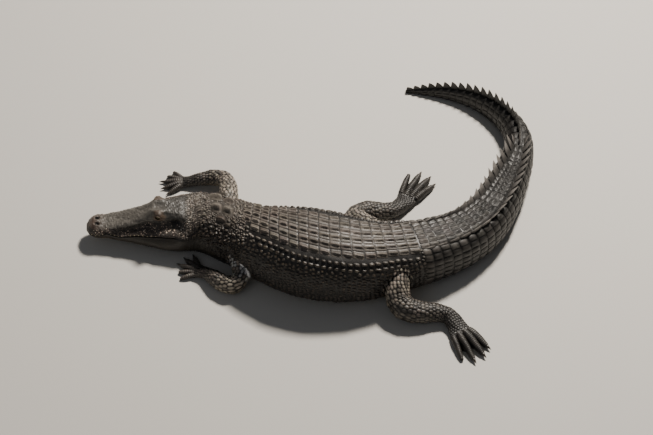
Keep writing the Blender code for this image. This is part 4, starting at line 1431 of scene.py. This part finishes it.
class CROC_OT_flank_scales(bpy.types.Operator):
    """Lays the round scales of the sides, which turn into upright oblongs near the belly"""
    bl_idname = "croc.flank_scales"
    bl_label = "Flank scales"

    def execute(self, context):
        size = context.scene.crocodile_sizes.flank_scale
        coat = Coat("flank_scales")

        def below_keels(row):
            return shield_half(row) + (0.062 if 0.76 < row < 1.40 else 0.036 if 0.70 < row < 1.46 else 0.004)

        along, across, length, width = scatter(0.705, 1.480, size, below_keels,
                                               lambda s: belly_edge(s) - 0.02, size * 0.86, 0.22)
        count = len(along)
        big = rng.uniform(0.70, 1.10, count)
        coat.lay(BODY, pebble(8, 2.5, crown=0.52, keel=0.40), along, across, length * big,
                 width * big * rng.uniform(0.85, 1.05, count), 0.0052 * big,
                 turn=rng.uniform(-0.3, 0.3, count), wander=0.045, tone=0.32, tip=1.0)
        along, across, length, width = scatter(0.70, 1.48, size * 1.28, lambda s: belly_edge(s) - 0.022,
                                               lambda s: belly_edge(s) + 0.004, 0.013, 0.03, False)
        coat.lay(BODY, plate(2, 2, squareness=5, dome=0.3, bevel=0.45), along, across, length * 0.90,
                 width * 0.90, 0.0036, wander=0.02)
        coat.make()
        return {"FINISHED"}


class CROC_OT_belly_tiles(bpy.types.Operator):
    """Lays the smooth square tiles of the belly"""
    bl_idname = "croc.belly_tiles"
    bl_label = "Belly tiles"

    def execute(self, context):
        coat = Coat("belly_tiles")
        along, across, length, width = scatter(
            0.64, 1.50, context.scene.crocodile_sizes.belly_tile, lambda s: belly_edge(s) + 0.005, half_girth,
            0.0215, 0.01, False)
        coat.lay(BODY, plate(2, 3, squareness=9, dome=0.12, bevel=0.5), along, across, length * 0.94,
                 width * 0.93, 0.0028, tone=0.08, tip=0.1)
        coat.make()
        return {"FINISHED"}


def whorl_place(number):
    """Where a ring of the tail starts; the rings shorten towards the tip."""
    share = number / WHORLS
    return TAIL_START + (TOTAL_LENGTH - TAIL_START) * (1.25 * share - 0.25 * share * share)


def crest_across(along):
    """Where the foot of the double crest lies, across from the top line."""
    across = np.linspace(0, float(half_girth(along)), 200)
    angles = angle_across(np.full(200, along), across)
    return float(np.interp(math.radians(float(crest_angle(along))), angles, across))


class CROC_OT_tail_tiles(bpy.types.Operator):
    """Lays the tail's rings of oblong tiles, keeled between the crests and flat below them"""
    bl_idname = "croc.tail_tiles"
    bl_label = "Tail tiles"

    def execute(self, context):
        coat = Coat("tail_tiles")
        keeled = plate(6, 8, squareness=9.0, dome=0.15, keel=0.50, keel_width=0.55, rise=0.75, bevel=0.35)
        level = plate(4, 4, squareness=9.0, dome=0.16, bevel=0.5)
        rings = [*np.linspace(TAIL_START - 0.008, whorl_place(9), 13),
                 *map(whorl_place, range(10, WHORLS + 1))]
        for first, last in zip(rings, rings[1:]):
            middle, length = (first + last) / 2, last - first
            girth = float(half_girth(middle))
            crest = crest_across(middle) if middle < 2.27 else 0.0
            columns = int(round(crest / 0.022))
            parts, share = ((-0.25, 0.25), 0.475) if length > 0.045 else ((0.0,), 0.95)
            for n in range(columns):
                for side in (-1, 1):
                    for part in parts:
                        coat.lay(BODY, keeled, middle + part * length + rng.uniform(-0.002, 0.002),
                                 side * (n + 0.5) * crest / columns, length * share * rng.uniform(0.95, 1.02),
                                 crest / columns * rng.uniform(0.92, 0.98), 0.0070, wander=0.03,
                                 turn=rng.uniform(-0.08, 0.08), tone=0.22, full=0.45)
            edge = crest + (0.010 if middle > 1.60 else 0.0)
            count = max(int(round((girth - edge) / 0.031)), 4)
            width = (girth - edge) / count
            for n in range(count):
                for side in (-1, 1):
                    coat.lay(BODY, level, middle + rng.uniform(-1, 1) * 0.0015,
                             side * (edge + width * (n + 0.5) + rng.uniform(-1, 1) * 0.001),
                             length * rng.uniform(0.82, 0.90), width * rng.uniform(0.80, 0.89),
                             0.0052 * (0.6 + 0.4 * min(girth / 0.3, 1)), turn=rng.uniform(-0.06, 0.06),
                             wander=0.025, tone=0.22, tip=0.4, full=0.75)
        coat.make()
        return {"FINISHED"}


def blade(rows=9, levels=7):
    """A blade of the crest: u along it, v its thickness, w its height. It leans back to a blunt tip."""
    around = 2 * rows
    turn = 2 * math.pi * (np.arange(around) + 0.5) / around
    run, side = np.cos(turn), np.sin(turn)
    points = []
    for level in np.linspace(0, 1, levels):
        front = -0.5 + (CREST_PEAK - 0.10) * level**1.9
        back = 0.5 - (1 - CREST_PEAK) * 0.9 * level**1.6
        u = (front + back) / 2 + (back - front) / 2 * np.copysign(np.abs(run) ** 0.75, run) + 0.10 * level**2
        v = (0.5 * (1 - level) ** 0.8 + 0.06) * side * (0.6 + 0.4 * np.abs(side))
        points.append(np.stack([u, v, level + 0 * u], -1))
    points = np.concatenate(points + [[(0.5 - (1 - CREST_PEAK) * 0.55, 0, 1.03)]])
    tip = len(points) - 1
    foot = [tuple(range(around))[::-1]]
    return points, tube_faces(levels, around) + tip_faces(tip - around, around, tip) + foot


class CROC_OT_tail_crest(bpy.types.Operator):
    """Stands the blades along the tail, in two rows and then in one"""
    bl_idname = "croc.tail_crest"
    bl_label = "Tail crest"

    def execute(self, context):
        coat = Coat("tail_crest")
        points, faces = blade()
        u, v, w = points.T
        c = tints()
        for number in range(WHORLS):
            first, last = whorl_place(number), whorl_place(number + 1)
            middle, length = (first + last) / 2, last - first
            rows = []
            if middle < 2.31:
                rows += [(side, max(float(double_crest(middle)), 0.010)) for side in (-1, 1)]
            if middle > 2.24:
                rows += [(0, float(single_crest(middle)))]
            for side, height in rows:
                across = side * (crest_across(middle) + 0.004)
                s = first + (u + 0.5) * length * 1.04
                thick = (0.0105 if middle < 1.80 else 0.0075) * (0.6 + 0.4 * min(height / 0.04, 1))
                cc = across + v * thick * 1.3
                foot = -float(depth_of_coat(BODY, middle, across)) - FOOT_DEPTH
                line = across + 0 * s
                base, low, high = (BODY.lay(s, *at) for at in ((cc, foot + 0 * s), (line, 0 * s),
                                                               (line, 0.01 + 0 * s)))
                outward = unit(high - low)
                splay = 0.62 * float(step(1.55, 1.95, middle)) * abs(side)
                up = unit(outward * 0.1 + unit(outward * (1, 1, 0) + 1e-9) * splay + (0, 0, 0.8))
                rise = (height + 0.004) * rng.uniform(0.93, 1.0)
                lean = rng.uniform(-0.05, 0.05)
                laid = base + up * (w * rise)[:, None] + outward * (1, 1, 0) * (lean * w * rise)[:, None]
                # painted shade, partly: blades near the far end take the near-black colour of the tail's end
                colour = blend(c["crest"] * (1 - 0.30 * step(1.6, 1.95, middle)), c["tail_end"] * 1.5,
                               0.95 * step(2.15, 2.45, middle)) * rng.uniform(0.80, 1.20)
                coat.points.append(laid)
                # painted shade at each blade's foot and painted highlight at its top
                coat.colours.append(blend(colour * 0.35, colour * 1.3, step(0.15, 0.85, w)))
                island = BODY.island(np.full(len(s), middle))
                coat.patches.append(BODY.unwrap(s, cc + w * height * 0.5 * (side or 1), island))
                coat.faces += [coat.count + np.array([face]) for face in faces]
                coat.count += len(points)
        coat.make(40)
        return {"FINISHED"}


class CROC_OT_leg_scales(bpy.types.Operator):
    """Lays the scales of the legs, smaller towards the feet"""
    bl_idname = "croc.leg_scales"
    bl_label = "Leg scales"

    def execute(self, context):
        size = context.scene.crocodile_sizes.leg_scale
        for name, limb in LIMB_SURFACES.items():
            coat = Coat(name + "_scales", 0.009)
            found, row, k = [], 0.02, 0
            while row < limb.length + 0.002:
                pitch = size * (1 - 0.42 * float(step(0.55, 0.95, row / limb.length)))
                girth = float(limb.girth(row))
                count = int(girth / (pitch * 0.95))
                across = (np.arange(count) + 0.5 * (k % 2)) / count * girth - girth / 2
                found.append(np.stack(np.broadcast_arrays(row, across, pitch, girth / count), -1))
                row += pitch * 0.90
                k += 1
            along, across, length, width = np.concatenate(found).T
            count = len(along)
            along = along + rng.uniform(-0.10, 0.10, count) * length
            across = across + rng.uniform(-0.10, 0.10, count) * width
            coat.lay(limb, pebble(8, 2.6, crown=0.60, keel=0.25), np.minimum(along, limb.length), across,
                     length * rng.uniform(0.95, 1.15, count), width * rng.uniform(0.86, 1.0, count),
                     0.0030 * length / size * rng.uniform(0.8, 1.15, count), tilt=0.06, wander=0.03, tip=0.30)
            coat.make()
        return {"FINISHED"}


class CROC_OT_toe_plates(bpy.types.Operator):
    """Lays the plates that cross the tops of the toes, and a row of beads down each side"""
    bl_idname = "croc.toe_plates"
    bl_label = "Toe plates"

    def execute(self, context):
        coat = Coat("toe_plates", 0.004)
        band, bead = plate(3, 6, squareness=4.0, dome=0.35, bevel=0.5), pebble(6, 2.6)
        for digit in sum(DIGIT_SURFACES.values(), []):
            rows, pitch = rows_between(digit.length * 0.03, digit.length, 0.0082)
            girth = digit.girth(rows)
            coat.lay(digit, band, rows, 0 * rows, pitch * 1.05, girth * 0.40, 0.0022, tilt=0.05, wander=0.02,
                     tone=0.12, tip=0.4)
            for side in (-1, 1):
                coat.lay(digit, bead, rows, side * girth * 0.285, pitch * 0.95, girth * 0.15, 0.0014,
                         wander=0.03)
        coat.make()
        return {"FINISHED"}


class CROC_OT_head_scales(bpy.types.Operator):
    """Lays the small scales of the temples, the cheeks and the lower jaw"""
    bl_idname = "croc.head_scales"
    bl_label = "Head scales"

    def execute(self, context):
        size = context.scene.crocodile_sizes.cheek_scale
        coat = Coat("head_scales", 0.003)
        bead = pebble(7, 2.4, crown=0.52)

        def lip(row):
            return mouth_across(row)[0]

        for first, last, grow in ((0.030, 0.17, 0.80), (0.17, 0.33, 0.92), (0.33, 0.452, 1.05)):
            along, across, length, width = scatter(
                first, last, size * grow, lambda s: across_at_height(s, brim(s))[0] + 0.002,
                lambda s: lip(s) - 0.004, size * grow * 0.95, 0.28)
            count = len(along)
            big = rng.uniform(0.55, 1.10, count)
            # painted highlight: about a quarter of the cheek beads are painted five times lighter, as glints
            bright = 0.95 + 4.2 * (rng.uniform(0, 1, count) > 0.76)
            colour = markings(BODY, along, across, BODY.point(along, across))[0] * bright[:, None]
            coat.lay(BODY, bead, along, across, length * big, width * big * rng.uniform(0.8, 1.05, count),
                     0.0021 * big * rng.uniform(0.7, 1.3, count), turn=rng.uniform(-0.6, 0.6, count),
                     colour=colour, wander=0.06, tone=0.3, tip=0.7)
        along, across, length, width = scatter(0.02, 0.450, 0.0120, lambda s: lip(s) + 0.006, half_girth,
                                               0.0088)
        coat.lay(BODY, plate(2, 2, squareness=4, dome=0.3, bevel=0.5), along, across, length * 0.95,
                 width * 0.93, 0.0009, wander=0.04, tone=0.10, tip=0.12)
        coat.make()
        return {"FINISHED"}


def cone(path, radii, sides, flatten=1.0):
    """A closed tapering rod along a path of points, as points and faces."""
    ways = unit(np.gradient(path, axis=0))
    across = unit(np.cross(ways, [0, 0, 1.0]) + 1e-9)
    up = np.cross(across, ways)
    turn = np.linspace(0, 2 * math.pi, sides, endpoint=False)[None, :, None]
    radii = radii[:, None, None]
    rings = (path[:, None, :] + across[:, None, :] * np.cos(turn) * radii * flatten
             + up[:, None, :] * np.sin(turn) * radii)
    ends = [tuple(range(sides))[::-1], tuple((len(path) - 1) * sides + np.arange(sides))]
    return rings.reshape(-1, 3), tube_faces(len(path), sides) + ends


class CROC_OT_claws(bpy.types.Operator):
    """Grows a curved claw from each inner toe"""
    bl_idname = "croc.claws"
    bl_label = "Claws"

    def execute(self, context):
        material = horn("claw horn", 1.5, 0.32)
        dark = tints()["claw"]
        t = np.linspace(-0.35, 1, 15)
        grown = np.clip(t, 0, 1)
        for limb in LIMBS:
            for n, (line, clawed) in enumerate(digits_of(limb)):
                if not clawed:
                    continue
                digit = DIGIT_SURFACES[limb][n]
                start = digit.line[-1]
                path = start[:3] + unit(digit.ways[-1] * (1, 1, 0)) * (CLAW_LENGTH * t)[:, None]
                arch = 0.0035 * np.sin(grown * math.pi * 0.7) - 0.0045 * grown**2
                path[:, 2] = np.maximum(start[2] + arch, FLOOR_CLEARANCE + 0.0012)
                radii = start[3] * 0.80 * (1 - grown**1.25) + 0.0006
                points, faces = cone(path, np.minimum(radii, path[:, 2] - FLOOR_CLEARANCE), 14, 0.78)
                name = f"claw_{limb}_{n + 1}"
                piece = mesh_object(name + "_horn", points, [np.array([face]) for face in faces],
                                    blend(dark * 1.7, dark * 0.6, np.repeat(grown, 14)))
                finish(piece, material, 50)
                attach(piece, "root")
                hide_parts(name)
        return {"FINISHED"}


class CROC_OT_eyes(bpy.types.Operator):
    """Sets the eyeballs between their lids"""
    bl_idname = "croc.eyes"
    bl_label = "Eyes"

    def execute(self, context):
        material = eyeball_gloss()
        for side, name in ((1, "eye_left"), (-1, "eye_right")):
            middle, before = (beside_spine(np.array(EYE_PLACE + ahead), np.array(EYE_OUT * side), EYE_HEIGHT)
                              for ahead in (0, 0.001))
            ahead = unit(before - middle)
            out = np.array([ahead[1], -ahead[0], 0]) * side
            axes = [unit(v[0] * ahead + v[1] * out + (0, 0, v[2])) for v in eye_axes()]
            bpy.ops.object.select_all(action="DESELECT")
            bpy.ops.mesh.primitive_uv_sphere_add(segments=48, ring_count=32, radius=1)
            piece = context.active_object
            piece.name = piece.data.name = name + "_ball"
            local = points_of(piece)
            local[:, 2] += 0.05 * np.maximum(local[:, 2] - 0.75, 0)
            layer = piece.data.attributes.new("gaze", "FLOAT_VECTOR", "POINT")
            layer.data.foreach_set("vector", packed(local))
            move_points(piece, middle + (local @ np.array(axes)) * (EYE_RADIUS - 0.0002))
            face_outwards(piece)
            piece.data.materials.append(material)
            only(piece)
            bpy.ops.object.shade_smooth()
            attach(piece, "root")
            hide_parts(name)
        return {"FINISHED"}


def side_profile(along):
    """Heights, rising, and how far out the side of the head is at each."""
    across = np.linspace(0, float(half_girth(along)), 160)
    left, height = section(np.full(160, along), angle_across(np.full(160, along), across))
    order = np.argsort(height)
    return height[order], left[order]


class CROC_OT_teeth(bpy.types.Operator):
    """Sets the teeth that show along the closed mouth"""
    bl_idname = "croc.teeth"
    bl_label = "Teeth"

    def execute(self, context):
        points, faces, count = [], [], 0
        t = np.linspace(0, 1, 7)
        for along, length in TEETH:
            for side in (-1, 1):
                height = float(mouth(along)) + 0.0015
                out = float(np.interp(height, *side_profile(along))) - 0.0030 + 0.0022 * t
                path = beside_spine(along + 0.001 * t, side * out,
                                    height + 0.001 - length * rng.uniform(0.9, 1.08) * t)
                ring, ring_faces = cone(path, 0.0026 * (1 - t**1.6) + 0.0003, 9)
                points.append(ring)
                faces += [np.array([face]) + count for face in ring_faces]
                count += len(ring)
        points = np.concatenate(points)
        piece = mesh_object("teeth", points, faces, np.broadcast_to(tints()["tooth"], points.shape))
        finish(piece, horn("tooth enamel", 1.1, 0.30), 50)
        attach(piece, "root")
        return {"FINISHED"}


class CROC_OT_stage(bpy.types.Operator):
    """Lays the pale floor and sets the lights and the camera"""
    bl_idname = "croc.stage"
    bl_label = "Stage"

    def execute(self, context):
        bpy.ops.object.select_all(action="DESELECT")
        bpy.ops.mesh.primitive_plane_add(size=60)
        floor = context.active_object
        floor.name = "floor"
        material, tree = new_material("pale plaster floor")
        shader = add_node(tree, "BsdfPrincipled", {"Base Color": (*linear("#d9d6d0"), 1), "Roughness": 0.75})
        add_node(tree, "OutputMaterial", Surface=shader)
        floor.data.materials.append(material)
        world = bpy.data.worlds.new("soft light")
        context.scene.world = world
        world.use_nodes = True
        sky = world.node_tree.nodes["Background"].inputs
        sky["Color"].default_value, sky["Strength"].default_value = (*linear("#e6e9ee"), 1), 0.10
        for name, place, size, power, tint in (("key", (2.3, 4.0, 6.3), 1.0, 960, "#fff7ec"),
                                               ("fill", (-3.5, -4.0, 5.0), 4.0, 18, "#eef3ff")):
            light = bpy.data.lights.new(name, "AREA")
            light.energy, light.size, light.color = power, size, linear(tint)
            lamp = bpy.data.objects.new(name, light)
            lamp.location = place
            aim = Vector((0.1, 0.1, 0.1)) - Vector(place)
            lamp.rotation_euler = aim.to_track_quat("-Z", "Y").to_euler()
            context.scene.collection.objects.link(lamp)
        camera = bpy.data.cameras.new("camera")
        camera.lens, camera.sensor_width = 138.87, 36.0
        camera.clip_end = 100
        view = bpy.data.objects.new("camera", camera)
        view.location = (0.0750, -6.7627, 8.4265)
        view.rotation_euler = (math.radians(40), 0, 0)
        context.scene.collection.objects.link(view)
        context.scene.camera = view
        return {"FINISHED"}


OPERATORS = [CROC_OT_stage, CROC_OT_skin, CROC_OT_back_plates, CROC_OT_neck_scales, CROC_OT_flank_scales,
             CROC_OT_belly_tiles, CROC_OT_tail_tiles, CROC_OT_tail_crest, CROC_OT_leg_scales,
             CROC_OT_toe_plates, CROC_OT_head_scales, CROC_OT_claws, CROC_OT_eyes, CROC_OT_teeth]


class CROC_PT_panel(bpy.types.Panel):
    """Lists the crocodile's sizes, colours and pieces"""
    bl_idname = "CROC_PT_panel"
    bl_label = "Nile crocodile"
    bl_space_type = "VIEW_3D"
    bl_region_type = "UI"
    bl_category = "Crocodile"

    def draw(self, context):
        for group in (context.scene.crocodile_sizes, context.scene.crocodile_colours):
            for name in group.__annotations__:
                self.layout.prop(group, name)
        for operator in OPERATORS:
            self.layout.operator(operator.bl_idname)


CLASSES = [CrocodileColours, CrocodileSizes, *OPERATORS, CROC_PT_panel]


def register():
    for item in CLASSES:
        bpy.utils.register_class(item)
    bpy.types.Scene.crocodile_colours = PointerProperty(type=CrocodileColours)
    bpy.types.Scene.crocodile_sizes = PointerProperty(type=CrocodileSizes)


def unregister():
    del bpy.types.Scene.crocodile_sizes, bpy.types.Scene.crocodile_colours
    for item in reversed(CLASSES):
        bpy.utils.unregister_class(item)


def main():
    register()
    for operator in OPERATORS:
        group, name = operator.bl_idname.split(".")
        getattr(getattr(bpy.ops, group), name)()


if __name__ == "__main__":
    main()
